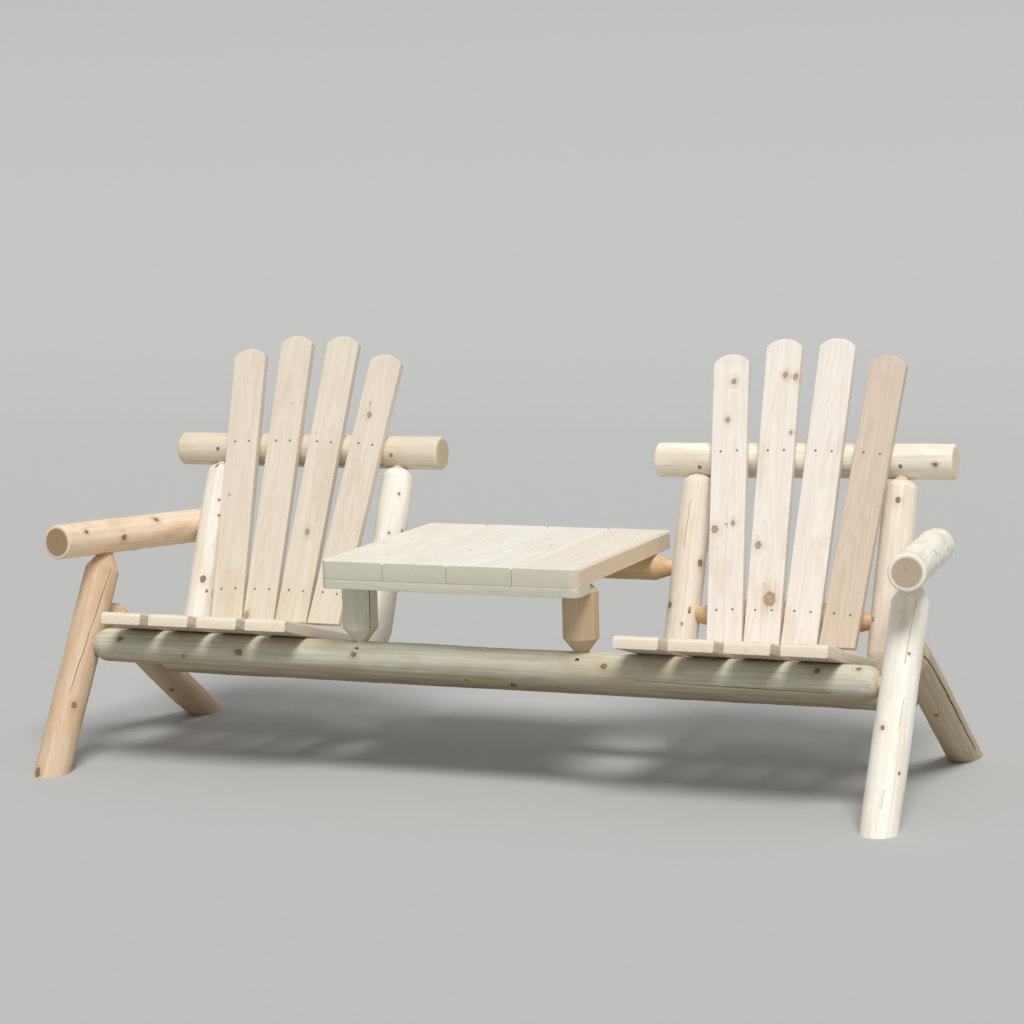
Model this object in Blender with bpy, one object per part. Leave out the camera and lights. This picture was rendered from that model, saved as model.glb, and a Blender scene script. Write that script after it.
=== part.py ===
"""Garden bench: two log chairs side by side with a board table between them.

Metres, +Z up. The front faces -Y, +X runs to the right of someone who looks at the front, and
the origin is on the ground under the middle. Every log ends in a cone and a round tenon that
stands in a socket of the next log. Touching pieces keep a small gap so each one is its own solid.
"""
import math
from collections import namedtuple

import bmesh
import bpy
from mathutils import Euler
from mathutils import Vector

# --- fits -------------------------------------------------------------------------------
FACETS = 24                  # flats round every log
GAP = 0.0003                 # between two pieces that touch
SOCKET_ROOM = 0.0004         # radial room round a tenon, its cone or a screw
TENON_R = 0.016
OUTSIDE = 0.02               # how far a cutter runs out past the wood
SAW_REACH = 0.3              # half width of the cutter that levels a foot
SAME = 1e-6                  # closer than this counts as equal
RIM_STEPS = 4                # facets over the rounded rim of a sawn log
EDGE_STEPS = 3               # facets over a rounded board edge
SHARP = math.radians(26.0)   # edges that turn less than this are shaded smooth

# --- front and rear legs ----------------------------------------------------------------
FRONT_LEG_X = 0.937
FRONT_LEG_FOOT_Y = -0.3525
FRONT_LEG_LEAN = 0.6077      # metres back for each metre up
FRONT_LEG_R = 0.0386
FRONT_LEG_TOP_Z = 0.484      # where its axis meets the arm's axis
FRONT_LEG_CONE = 0.040
REAR_LEG_X = 0.934
REAR_LEG_FOOT_Y = 0.336
REAR_LEG_LEAN = -1.3806      # metres back for each metre up, so it comes forward
REAR_LEG_R = 0.0361
REAR_LEG_TOP_Z = 0.3463      # where its axis meets the front leg's axis
REAR_LEG_CONE = 0.040
LEG_BELOW_GROUND = 0.08      # length that is sawn off flat at the ground
TENON_PAST_AXIS = 0.008      # how far a leg or post tenon passes the other log's axis
ARM_CROSS_SINE = 0.888       # sine of the angle between a front leg and its arm

# --- seat rails -------------------------------------------------------------------------
RAIL_R = 0.0367
RAIL_SHOULDER_X = 0.872      # where the straight log ends and the cone starts
RAIL_CONE = 0.027
RAIL_TENON_TIP_X = 0.941
FRONT_RAIL_Y = -0.196
FRONT_RAIL_Z = 0.262
REAR_RAIL_Y = 0.084
REAR_RAIL_Z = 0.184

# --- arms -------------------------------------------------------------------------------
ARM_FRONT = Vector((0.967, -0.237, 0.495))
ARM_REAR = Vector((0.874, 0.345, 0.459))
ARM_R = 0.0386
ARM_FRONT_EASE = 0.0055
ARM_REAR_EASE = 0.013

# --- chair backs ------------------------------------------------------------------------
BACK_LEAN = math.radians(24.0)
POST_X = {"outer": 0.819, "inner": 0.364}
POST_R = 0.0365
POST_BOTTOM_SHOULDER = 0.0788
POST_BOTTOM_CONE = 0.040
POST_TOP_SHOULDER = 0.4425
POST_TOP_CONE = 0.0205
TOP_RAIL_ALONG = 0.5025      # from the rear rail's axis, up along the posts
TOP_RAIL_R = 0.038
TOP_RAIL_EASE = 0.006
TOP_RAIL_ENDS = {-1: (-0.932, -0.261), 1: (0.264, 0.932)}
TOP_RAIL_TILT = {-1: 0.0, 1: math.radians(0.75)}
LOWER_RAIL_Z = 0.323
LOWER_RAIL_R = 0.036
LOWER_RAIL_FORWARD = 0.002   # in front of the plane of the posts' axes
LOWER_RAIL_CONE = 0.083      # a long gentle cone that starts a little inside the post
LOWER_RAIL_SHOULDER = 0.075  # from the post's surface
LOWER_RAIL_IN_POST = 0.030
LOWER_RAIL_END_X = (0.4005, 0.7825)

# --- back slats -------------------------------------------------------------------------
SLATS = 4
SLAT_THICK = 0.019
SLAT_FRONT_FORWARD = 0.0573  # slat faces in front of the plane of the posts' axes
SLAT_BOTTOM_Z = 0.280
SLAT_PITCH = 0.0826
SLAT_BOTTOM_WIDTH = 0.0785
SLAT_TOP_WIDTH = 0.0795
SLAT_FAN = math.radians(3.21)
SLAT_LEAN = {-1: math.radians(0.53), 1: math.radians(-0.42)}    # of a whole fan of slats
SLAT_FAN_X = {-1: -0.5938, 1: 0.6065}
SLAT_LENGTHS = {-1: (0.636, 0.667, 0.667, 0.6255),      # to the shoulders of the arched tops
                1: (0.630, 0.664, 0.6655, 0.629)}
SLAT_ARCH = 0.018
SLAT_ARCH_STEPS = 8
SLAT_EASE = 0.0015

# --- seat boards ------------------------------------------------------------------------
CHAIR_X = 0.598
SEAT_BOARDS = 4
SEAT_PITCH = 0.1182
SEAT_WIDTH = 0.0966
SEAT_THICK = 0.027
SEAT_FRONT_Y = -0.304
SEAT_REAR_Y = 0.125
SEAT_NOTCH_Y = 0.036
SEAT_NOTCH_U = 0.183         # from the middle of the chair
SEAT_EDGE_EASE = 0.0045
SEAT_NOSE_EASE = 0.009

# --- table ------------------------------------------------------------------------------
TABLE_TOP_Z = 0.485
TABLE_FRONT_Y = -0.285
TABLE_REAR_Y = 0.272
TABLE_BOARDS = 4
TABLE_BOARD_WIDTH = 0.1465
TABLE_BOARD_THICK = 0.0396
TABLE_BOARD_EASE = 0.0045
TABLE_FRONT_CORNER = 0.020
TABLE_REAR_CORNER = 0.012
CORNER_STEPS = 8
CLEAT_THICK = 0.0198
CLEAT_DEPTH = 0.070
CLEAT_EASE = 0.002
TABLE_POST_X = {-1: -0.248, 1: 0.260}
TABLE_POST_Y = -0.190
TABLE_POST_R = 0.038
TABLE_POST_TENON_DEPTH = 0.043
TABLE_POST_LOW_CONE = 0.028
TABLE_POST_HIGH_CONE = 0.0205
TABLE_POST_BLIND = 0.020
CROSS_RAIL_R = 0.029
CROSS_RAIL_SHOULDER_X = 0.288
CROSS_RAIL_CONE = 0.0385
CROSS_RAIL_TIP_X = 0.357

# --- screws -----------------------------------------------------------------------------
SCREW_HEAD_R = 0.0045
SCREW_HEAD_THICK = 0.0025
SCREW_SHANK_R = 0.0024
SCREW_PROUD = 0.0006
TOP_SCREWS = {(-1, "outer"): (-0.822, 0.648), (-1, "inner"): (-0.373, 0.642),
              (1, "inner"): (0.371, 0.629), (1, "outer"): (0.821, 0.640)}
TOP_SCREW_LENGTH = 0.048
LOWER_SCREW_INWARD = 0.022   # from the post's axis towards the chair
LOWER_SCREW_LENGTH = 0.030
TOE_SCREW_X = {-1: -0.243, 1: 0.263}
TOE_SCREW_Z = 0.2855
TOE_SCREW_DOWN = 0.34
TOE_SCREW_LENGTH = 0.036
ARM_SCREW_LENGTH = 0.060
LAG_HEAD_R = 0.0065
LAG_HEAD_THICK = 0.005
LAG_SHANK_R = 0.0032
LAG_LENGTH = 0.092
LAG_RECESS = 0.012
LAG_BORE_R = 0.009
LAG_Y = 0.209                # level with the outer back post's axis

SIDE_NAMES = {-1: "left", 1: "right"}
LOW_FACETS = 16              # flats round a screw

Turned = namedtuple("Turned", "start direction rings facets")

# directions of the leaning backs
BACK_UP = Vector((0.0, math.sin(BACK_LEAN), math.cos(BACK_LEAN)))
BACK_FORWARD = Vector((0.0, -math.cos(BACK_LEAN), math.sin(BACK_LEAN)))
REAR_RAIL_AXIS = Vector((0.0, REAR_RAIL_Y, REAR_RAIL_Z))
SEAT_SLOPE = math.atan2(FRONT_RAIL_Z - REAR_RAIL_Z, REAR_RAIL_Y - FRONT_RAIL_Y)
TABLE_UNDERSIDE_Z = TABLE_TOP_Z - TABLE_BOARD_THICK


# --- materials --------------------------------------------------------------------------
def material(name, colour, roughness, metallic=0.0):
    made = bpy.data.materials.new(name)
    made.use_nodes = True
    shader = made.node_tree.nodes["Principled BSDF"]
    shader.inputs["Base Color"].default_value = (*colour, 1.0)
    shader.inputs["Roughness"].default_value = roughness
    shader.inputs["Metallic"].default_value = metallic
    made.diffuse_color = (*colour, 1.0)
    return made


def cream_log():
    return material("cream_cedar_log", (0.79, 0.66, 0.44), 0.55)


def tan_log():
    return material("tan_cedar_log", (0.70, 0.48, 0.27), 0.55)


def slat_wood():
    return material("planed_cedar_slat", (0.78, 0.60, 0.40), 0.6)


def board_wood():
    return material("planed_cedar_board", (0.80, 0.68, 0.48), 0.6)


def steel():
    return material("zinc_steel", (0.45, 0.43, 0.40), 0.4, 1.0)


# --- solids -----------------------------------------------------------------------------
def finish(name, mesh_data, surface):
    piece = bpy.data.objects.new(name, mesh_data)
    bpy.context.scene.collection.objects.link(piece)
    if surface:
        mesh_data.materials.append(surface)
    return piece


def to_mesh(name, solid):
    bmesh.ops.recalc_face_normals(solid, faces=solid.faces)
    mesh_data = bpy.data.meshes.new(name)
    solid.to_mesh(mesh_data)
    solid.free()
    return mesh_data


def turn(name, shape, surface, room=0.0):
    """A solid of revolution about its start and direction. Room swells it into a socket cutter."""
    solid = bmesh.new()
    first = shape.rings[0][0]
    last = shape.rings[-1][0]
    loops = []
    for along, radius in shape.rings:
        if along == first:
            along -= room
        if along == last:
            along += room
        loop = []
        for k in range(shape.facets):
            angle = 2.0 * math.pi * k / shape.facets
            x = (radius + room) * math.cos(angle)
            y = (radius + room) * math.sin(angle)
            loop.append(solid.verts.new((x, y, along)))
        loops.append(loop)
    for low, high in zip(loops, loops[1:]):
        for k in range(shape.facets):
            after = (k + 1) % shape.facets
            solid.faces.new((low[k], low[after], high[after], high[k]))
    solid.faces.new(list(reversed(loops[0])))
    solid.faces.new(loops[-1])
    piece = finish(name, to_mesh(name, solid), surface)
    piece.location = shape.start
    piece.rotation_euler = shape.direction.to_track_quat("Z", "Y").to_euler()
    return piece


def prism(name, outline, low, high, surface, ease=0.0):
    """An outline in X and Y between two heights, with its top and bottom rims eased."""
    solid = bmesh.new()
    bottom = [solid.verts.new((x, y, low)) for x, y in outline]
    top = [solid.verts.new((x, y, high)) for x, y in outline]
    solid.faces.new(list(reversed(bottom)))
    solid.faces.new(top)
    count = len(outline)
    for k in range(count):
        after = (k + 1) % count
        solid.faces.new((bottom[k], bottom[after], top[after], top[k]))
    if ease:
        rims = [edge for edge in solid.edges if edge.verts[0].co.z == edge.verts[1].co.z]
        bmesh.ops.bevel(solid, geom=rims, offset=ease, segments=1, affect="EDGES")
    return finish(name, to_mesh(name, solid), surface)


def box(name, low, high, surface, rims=()):
    """A box between two corners. Each rim is a test for its edges, a radius and a step count."""
    solid = bmesh.new()
    bmesh.ops.create_cube(solid, size=1.0)
    for vert in solid.verts:
        for axis in range(3):
            vert.co[axis] = high[axis] if vert.co[axis] > 0.0 else low[axis]
    for wanted, radius, steps in rims:
        edges = [edge for edge in solid.edges if wanted(*(v.co for v in edge.verts))]
        bmesh.ops.bevel(solid, geom=edges, offset=radius, segments=steps, profile=0.5, affect="EDGES")
    return finish(name, to_mesh(name, solid), surface)


def subtract(target, cutter):
    """Take the cutter's shape out of the target, then remove the cutter."""
    cutter.hide_render = True
    cutter.display_type = "WIRE"
    change = target.modifiers.new("cut", "BOOLEAN")
    change.operation = "DIFFERENCE"
    change.solver = "EXACT"
    change.object = cutter
    bpy.context.view_layer.update()
    graph = bpy.context.evaluated_depsgraph_get()
    result = bpy.data.meshes.new_from_object(target.evaluated_get(graph))
    target.modifiers.clear()
    target.data = result
    bpy.data.objects.remove(cutter)


def socket(target, *shapes):
    for shape in shapes:
        subtract(target, turn("cutter", shape, None, SOCKET_ROOM))


def smooth(piece):
    piece.data.shade_smooth()
    piece.data.set_sharp_from_angle(angle=SHARP)


def pointed_end(tip, shoulder, cone, radius):
    """Rings from a tenon's tip to the shoulder of its cone, measured along the log."""
    step = cone if shoulder > tip else -cone
    return [(tip, TENON_R), (shoulder - step, TENON_R), (shoulder, radius)]


def eased_end(end, inward, radius, ease):
    """Rings of a sawn end with a rounded rim. Inward is +1 or -1 along the log."""
    rings = []
    for k in range(RIM_STEPS + 1):
        angle = 0.5 * math.pi * k / RIM_STEPS
        along = end + inward * ease * (1.0 - math.cos(angle))
        rings.append((along, radius - ease * (1.0 - math.sin(angle))))
    return rings


def log_shape(start, direction, low_rings, high_rings):
    rings = low_rings + list(reversed(high_rings))
    return Turned(Vector(start), Vector(direction).normalized(), rings, FACETS)


def along_x(y, z, low_rings, high_rings):
    return log_shape((0.0, y, z), (1.0, 0.0, 0.0), low_rings, high_rings)


# --- log shapes -------------------------------------------------------------------------
def seat_rail_shape(y, z):
    low = pointed_end(-RAIL_TENON_TIP_X, -RAIL_SHOULDER_X, RAIL_CONE, RAIL_R)
    high = pointed_end(RAIL_TENON_TIP_X, RAIL_SHOULDER_X, RAIL_CONE, RAIL_R)
    return along_x(y, z, low, high)


def front_leg_shape(side):
    direction = Vector((0.0, FRONT_LEG_LEAN, 1.0))
    axis_length = FRONT_LEG_TOP_Z * direction.length
    shoulder = axis_length - ARM_R / ARM_CROSS_SINE - FRONT_LEG_CONE
    low = [(-LEG_BELOW_GROUND, FRONT_LEG_R)]
    high = pointed_end(axis_length + TENON_PAST_AXIS, shoulder, FRONT_LEG_CONE, FRONT_LEG_R)
    return log_shape((side * FRONT_LEG_X, FRONT_LEG_FOOT_Y, 0.0), direction, low, high)


def rear_leg_shape(side):
    direction = Vector((0.0, REAR_LEG_LEAN, 1.0))
    axis_length = REAR_LEG_TOP_Z * direction.length
    shoulder = axis_length - FRONT_LEG_R - REAR_LEG_CONE
    low = [(-LEG_BELOW_GROUND, REAR_LEG_R)]
    high = pointed_end(axis_length + TENON_PAST_AXIS, shoulder, REAR_LEG_CONE, REAR_LEG_R)
    return log_shape((side * REAR_LEG_X, REAR_LEG_FOOT_Y, 0.0), direction, low, high)


def arm_ends(side):
    mirror = Vector((side, 1.0, 1.0))
    return ARM_FRONT * mirror, ARM_REAR * mirror


def arm_shape(side):
    front, rear = arm_ends(side)
    axis = rear - front
    low = eased_end(0.0, 1, ARM_R, ARM_FRONT_EASE)
    high = eased_end(axis.length, -1, ARM_R, ARM_REAR_EASE)
    return log_shape(front, axis, low, high)


def back_post_shape(side, place):
    start = REAR_RAIL_AXIS + Vector((side * POST_X[place], 0.0, 0.0))
    top_tip = TOP_RAIL_ALONG + TENON_PAST_AXIS
    low = pointed_end(-TENON_PAST_AXIS, POST_BOTTOM_SHOULDER, POST_BOTTOM_CONE, POST_R)
    high = pointed_end(top_tip, POST_TOP_SHOULDER, POST_TOP_CONE, POST_R)
    return log_shape(start, BACK_UP, low, high)


def top_rail_axis(side):
    """A point on the axis and the direction of a top rail, tilted in the plane of the posts."""
    tilt = TOP_RAIL_TILT[side]
    middle = REAR_RAIL_AXIS + TOP_RAIL_ALONG * BACK_UP
    middle.x = 0.5 * sum(TOP_RAIL_ENDS[side])
    direction = math.cos(tilt) * Vector((1.0, 0.0, 0.0)) + math.sin(tilt) * BACK_UP
    return middle, direction


def top_rail_shape(side):
    middle, direction = top_rail_axis(side)
    half = 0.5 * (TOP_RAIL_ENDS[side][1] - TOP_RAIL_ENDS[side][0])
    low = eased_end(-half, 1, TOP_RAIL_R, TOP_RAIL_EASE)
    high = eased_end(half, -1, TOP_RAIL_R, TOP_RAIL_EASE)
    return log_shape(middle, direction, low, high)


def on_back(z, forward):
    """A point at a height, so far in front of the plane of the posts' axes."""
    climb = (z - REAR_RAIL_Z - forward * BACK_FORWARD.z) / BACK_UP.z
    return REAR_RAIL_AXIS + climb * BACK_UP + forward * BACK_FORWARD


def lower_rail_shape(side):
    start = on_back(LOWER_RAIL_Z, LOWER_RAIL_FORWARD)
    inner_x, outer_x = LOWER_RAIL_END_X
    low = pointed_end(inner_x - LOWER_RAIL_IN_POST, inner_x + LOWER_RAIL_SHOULDER,
                      LOWER_RAIL_CONE, LOWER_RAIL_R)
    high = pointed_end(outer_x + LOWER_RAIL_IN_POST, outer_x - LOWER_RAIL_SHOULDER,
                       LOWER_RAIL_CONE, LOWER_RAIL_R)
    return log_shape(start, (side, 0.0, 0.0), low, high)


def table_post_shape(side):
    rail_top = FRONT_RAIL_Z + RAIL_R
    low = pointed_end(rail_top - TABLE_POST_TENON_DEPTH, rail_top + TABLE_POST_LOW_CONE,
                      TABLE_POST_LOW_CONE, TABLE_POST_R)
    high = pointed_end(TABLE_UNDERSIDE_Z + TABLE_POST_BLIND, TABLE_UNDERSIDE_Z - TABLE_POST_HIGH_CONE,
                       TABLE_POST_HIGH_CONE, TABLE_POST_R)
    return log_shape((TABLE_POST_X[side], TABLE_POST_Y, 0.0), (0.0, 0.0, 1.0), low, high)


def cross_rail_shape():
    z = TABLE_UNDERSIDE_Z - GAP - CROSS_RAIL_R
    y = REAR_RAIL_Y + (z - REAR_RAIL_Z) * math.tan(BACK_LEAN)
    low = pointed_end(-CROSS_RAIL_TIP_X, -CROSS_RAIL_SHOULDER_X, CROSS_RAIL_CONE, CROSS_RAIL_R)
    high = pointed_end(CROSS_RAIL_TIP_X, CROSS_RAIL_SHOULDER_X, CROSS_RAIL_CONE, CROSS_RAIL_R)
    return along_x(y, z, low, high)


# --- screw shapes -----------------------------------------------------------------------
def screw_shape(start, direction, length, head_r=SCREW_HEAD_R, head=SCREW_HEAD_THICK, shank_r=SCREW_SHANK_R):
    rings = [(0.0, head_r), (head, head_r), (head, shank_r), (length, shank_r)]
    return Turned(Vector(start), Vector(direction).normalized(), rings, LOW_FACETS)


def top_screw_shape(side, place):
    x, z = TOP_SCREWS[side, place]
    middle, direction = top_rail_axis(side)
    axis = middle + direction * (x - middle.x)
    y = axis.y - math.sqrt(TOP_RAIL_R ** 2 - (z - axis.z) ** 2) - SCREW_PROUD
    return screw_shape((x, y, z), (0.0, 1.0, 0.0), TOP_SCREW_LENGTH)


def lower_screw_shape(side, place):
    toward_chair = -1.0 if place == "outer" else 1.0
    offset = side * toward_chair * LOWER_SCREW_INWARD
    out = math.sqrt(POST_R ** 2 - LOWER_SCREW_INWARD ** 2) + SCREW_PROUD
    on_axis = on_back(LOWER_RAIL_Z, LOWER_RAIL_FORWARD) - LOWER_RAIL_FORWARD * BACK_FORWARD
    start = on_axis + out * BACK_FORWARD
    start.x = side * POST_X[place] + offset
    return screw_shape(start, -BACK_FORWARD, LOWER_SCREW_LENGTH)


def toe_screw_shape(side):
    y = FRONT_RAIL_Y - math.sqrt(RAIL_R ** 2 - (TOE_SCREW_Z - FRONT_RAIL_Z) ** 2) - SCREW_PROUD
    return screw_shape((TOE_SCREW_X[side], y, TOE_SCREW_Z), (0.0, 1.0, -TOE_SCREW_DOWN), TOE_SCREW_LENGTH)


def arm_point(side, y):
    front, rear = arm_ends(side)
    return front.lerp(rear, (y - front.y) / (rear.y - front.y))


def arm_screw_shape(side):
    """Through the outer side of the arm into the front leg's tenon."""
    y = FRONT_LEG_FOOT_Y + FRONT_LEG_LEAN * FRONT_LEG_TOP_Z
    start = arm_point(side, y)
    start.x += side * (ARM_R + SCREW_PROUD)
    return screw_shape(start, (-side, 0.0, 0.0), ARM_SCREW_LENGTH)


def lag_start(side):
    """On the outer side of the arm, where the lag screw is driven."""
    start = arm_point(side, LAG_Y)
    start.x += side * ARM_R
    return start


def lag_screw_shape(side):
    start = lag_start(side)
    start.x -= side * LAG_RECESS
    return screw_shape(start, (-side, 0.0, 0.0), LAG_LENGTH, LAG_HEAD_R, LAG_HEAD_THICK, LAG_SHANK_R)


def lag_bore_shape(side):
    start = lag_start(side)
    start.x += side * OUTSIDE
    rings = [(0.0, LAG_BORE_R), (OUTSIDE + LAG_RECESS + LAG_HEAD_THICK, LAG_BORE_R)]
    return Turned(start, Vector((-side, 0.0, 0.0)), rings, LOW_FACETS)


# --- logs -------------------------------------------------------------------------------
def front_rail(surface):
    rail = turn("front_rail", seat_rail_shape(FRONT_RAIL_Y, FRONT_RAIL_Z), surface)
    socket(rail, table_post_shape(-1), table_post_shape(1), toe_screw_shape(-1), toe_screw_shape(1))
    smooth(rail)


def rear_rail(surface):
    rail = turn("rear_rail", seat_rail_shape(REAR_RAIL_Y, REAR_RAIL_Z), surface)
    for side in (-1, 1):
        socket(rail, back_post_shape(side, "outer"), back_post_shape(side, "inner"))
    smooth(rail)


def saw_flat_at_ground(leg):
    low = (leg.location.x - SAW_REACH, leg.location.y - SAW_REACH, -SAW_REACH)
    high = (leg.location.x + SAW_REACH, leg.location.y + SAW_REACH, 0.0)
    subtract(leg, box("cutter", low, high, None))


def front_leg(side, surface):
    leg = turn("front_leg_" + SIDE_NAMES[side], front_leg_shape(side), surface)
    saw_flat_at_ground(leg)
    socket(leg, seat_rail_shape(FRONT_RAIL_Y, FRONT_RAIL_Z), rear_leg_shape(side), arm_screw_shape(side))
    smooth(leg)


def rear_leg(side, surface):
    leg = turn("rear_leg_" + SIDE_NAMES[side], rear_leg_shape(side), surface)
    saw_flat_at_ground(leg)
    socket(leg, seat_rail_shape(REAR_RAIL_Y, REAR_RAIL_Z))
    smooth(leg)


def armrest(side, surface):
    arm = turn("armrest_" + SIDE_NAMES[side], arm_shape(side), surface)
    socket(arm, front_leg_shape(side), arm_screw_shape(side), lag_bore_shape(side), lag_screw_shape(side))
    smooth(arm)


def back_post(side, place, surface):
    name = "back_post_" + SIDE_NAMES[side] + "_" + place
    post = turn(name, back_post_shape(side, place), surface)
    socket(post, lower_rail_shape(side), top_screw_shape(side, place), lower_screw_shape(side, place))
    if place == "inner":
        socket(post, cross_rail_shape())
    else:
        socket(post, lag_screw_shape(side))
    smooth(post)


def top_rail(side, surface):
    rail = turn("top_rail_" + SIDE_NAMES[side], top_rail_shape(side), surface)
    for place in ("outer", "inner"):
        socket(rail, back_post_shape(side, place), top_screw_shape(side, place))
    smooth(rail)


def lower_back_rail(side, surface):
    rail = turn("lower_back_rail_" + SIDE_NAMES[side], lower_rail_shape(side), surface)
    socket(rail, lower_screw_shape(side, "outer"), lower_screw_shape(side, "inner"))
    smooth(rail)


def table_post(side, surface):
    post = turn("table_post_" + SIDE_NAMES[side], table_post_shape(side), surface)
    socket(post, toe_screw_shape(side))
    smooth(post)


def table_cross_rail(surface):
    rail = turn("table_cross_rail", cross_rail_shape(), surface)
    smooth(rail)


# --- boards -----------------------------------------------------------------------------
def slat_outline(angle, length):
    """Level foot, sides that follow the slat's own lean, and an arched top."""
    half_foot = 0.5 * SLAT_BOTTOM_WIDTH
    half_top = 0.5 * SLAT_TOP_WIDTH
    arch_r = (half_top ** 2 + SLAT_ARCH ** 2) / (2.0 * SLAT_ARCH)
    sweep = math.asin(half_top / arch_r)
    points = [(-half_foot, 0.0), (half_foot, 0.0)]
    for k in range(SLAT_ARCH_STEPS + 1):
        turned = sweep * (1.0 - 2.0 * k / SLAT_ARCH_STEPS)
        across = arch_r * math.sin(turned)
        along = length + SLAT_ARCH - arch_r * (1.0 - math.cos(turned))
        x = across * math.cos(angle) + along * math.sin(angle)
        y = along * math.cos(angle) - across * math.sin(angle)
        points.append((x, y))
    return points


def back_slat(side, number, surface):
    place = number - 0.5 * (SLATS + 1)
    outline = slat_outline(place * SLAT_FAN + SLAT_LEAN[side], SLAT_LENGTHS[side][number - 1])
    name = "slat_" + SIDE_NAMES[side] + "_" + str(number)
    slat = prism(name, outline, -SLAT_THICK, 0.0, surface, SLAT_EASE)
    foot = on_back(SLAT_BOTTOM_Z, SLAT_FRONT_FORWARD)
    foot.x = SLAT_FAN_X[side] + place * SLAT_PITCH
    slat.location = foot
    slat.rotation_euler = Euler((0.5 * math.pi - BACK_LEAN, 0.0, 0.0))


def along_y_edge(a, b):
    return abs(a.x - b.x) + abs(a.z - b.z) < SAME


def along_x_edge(a, b):
    return abs(a.y - b.y) + abs(a.z - b.z) < SAME


def top_front_edge(a, b):
    middle = 0.5 * SEAT_THICK
    return along_x_edge(a, b) and a.y < middle < a.z


def seat_board(side, number, surface):
    """Local Y runs down the slope from the front edge, local Z is square to the board."""
    middle = (number - 0.5 * (SEAT_BOARDS + 1)) * SEAT_PITCH
    half = 0.5 * SEAT_WIDTH
    length = (SEAT_REAR_Y - SEAT_FRONT_Y) / math.cos(SEAT_SLOPE)
    rims = ((top_front_edge, SEAT_NOSE_EASE, EDGE_STEPS), (along_y_edge, SEAT_EDGE_EASE, 1))
    name = "seat_board_" + SIDE_NAMES[side] + "_" + str(number)
    board = box(name, (-half, 0.0, 0.0), (half, length, SEAT_THICK), surface, rims)
    over_axis = (RAIL_R + GAP) / math.cos(SEAT_SLOPE)
    rise = (FRONT_RAIL_Y - SEAT_FRONT_Y) * math.tan(SEAT_SLOPE)
    board.location = (side * CHAIR_X + middle, SEAT_FRONT_Y, FRONT_RAIL_Z + over_axis + rise)
    board.rotation_euler = Euler((-SEAT_SLOPE, 0.0, 0.0))
    if number in (1, SEAT_BOARDS):
        notch_post_corner(board, middle, length)


def notch_post_corner(board, middle, length):
    outward = math.copysign(1.0, middle)
    start = (SEAT_NOTCH_Y - SEAT_FRONT_Y) / math.cos(SEAT_SLOPE)
    edges = sorted((outward * SEAT_NOTCH_U - middle, outward * (SEAT_WIDTH + OUTSIDE)))
    low = (edges[0], start, -OUTSIDE)
    high = (edges[1], length + OUTSIDE, SEAT_THICK + OUTSIDE)
    cutter = box("cutter", low, high, None)
    cutter.location = board.location
    cutter.rotation_euler = board.rotation_euler
    subtract(board, cutter)


def round_corner(board, x, y, inward_x, inward_y, radius, low, high):
    """Round one upright corner at x, y. The inward signs point from it into the board."""
    arc = []
    for k in range(CORNER_STEPS + 1):
        angle = 0.5 * math.pi * k / CORNER_STEPS
        arc_x = x + inward_x * radius * (1.0 - math.sin(angle))
        arc_y = y + inward_y * radius * (1.0 - math.cos(angle))
        arc.append((arc_x, arc_y))
    far_x = x - inward_x * OUTSIDE
    far_y = y - inward_y * OUTSIDE
    outline = [(far_x, arc[-1][1]), (far_x, far_y), (arc[0][0], far_y)] + arc
    subtract(board, prism("cutter", outline, low - OUTSIDE, high + OUTSIDE, None))


def table_board(number, surface):
    pitch = TABLE_BOARD_WIDTH + GAP
    x = (number - 0.5 * (TABLE_BOARDS + 1)) * pitch
    low = (x - 0.5 * TABLE_BOARD_WIDTH, TABLE_FRONT_Y, TABLE_UNDERSIDE_Z)
    high = (x + 0.5 * TABLE_BOARD_WIDTH, TABLE_REAR_Y, TABLE_TOP_Z)
    board = box("table_board_" + str(number), low, high, surface,
                ((along_y_edge, TABLE_BOARD_EASE, EDGE_STEPS),))
    side = {1: -1, TABLE_BOARDS: 1}.get(number)
    if side:
        edge_x = low[0] if side < 0 else high[0]
        round_corner(board, edge_x, TABLE_FRONT_Y, -side, 1, TABLE_FRONT_CORNER, low[2], high[2])
        round_corner(board, edge_x, TABLE_REAR_Y, -side, -1, TABLE_REAR_CORNER, low[2], high[2])
        socket(board, table_post_shape(side))
    smooth(board)


def table_cleat(surface):
    half = 0.5 * (TABLE_BOARDS * TABLE_BOARD_WIDTH + (TABLE_BOARDS - 1) * GAP)
    top = TABLE_UNDERSIDE_Z - GAP
    low = (-half, TABLE_FRONT_Y, top - CLEAT_THICK)
    high = (half, TABLE_FRONT_Y + CLEAT_DEPTH, top)
    cleat = box("table_cleat", low, high, surface, ((along_x_edge, CLEAT_EASE, 1),))
    for side in (-1, 1):
        round_corner(cleat, side * half, TABLE_FRONT_Y, -side, 1, TABLE_FRONT_CORNER, low[2], high[2])
        socket(cleat, table_post_shape(side))


# --- screws -----------------------------------------------------------------------------
def screws(surface):
    for side in (-1, 1):
        end = SIDE_NAMES[side]
        for place in ("outer", "inner"):
            turn("top_rail_screw_" + end + "_" + place, top_screw_shape(side, place), surface)
            turn("lower_rail_screw_" + end + "_" + place, lower_screw_shape(side, place), surface)
        turn("table_post_screw_" + end, toe_screw_shape(side), surface)
        turn("arm_leg_screw_" + end, arm_screw_shape(side), surface)
        turn("arm_post_lag_screw_" + end, lag_screw_shape(side), surface)


def frame_logs(cream, tan):
    front_rail(cream)
    rear_rail(cream)
    for side in (-1, 1):
        front_leg(side, tan if side < 0 else cream)
        rear_leg(side, cream)
        armrest(side, tan if side < 0 else cream)


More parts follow.
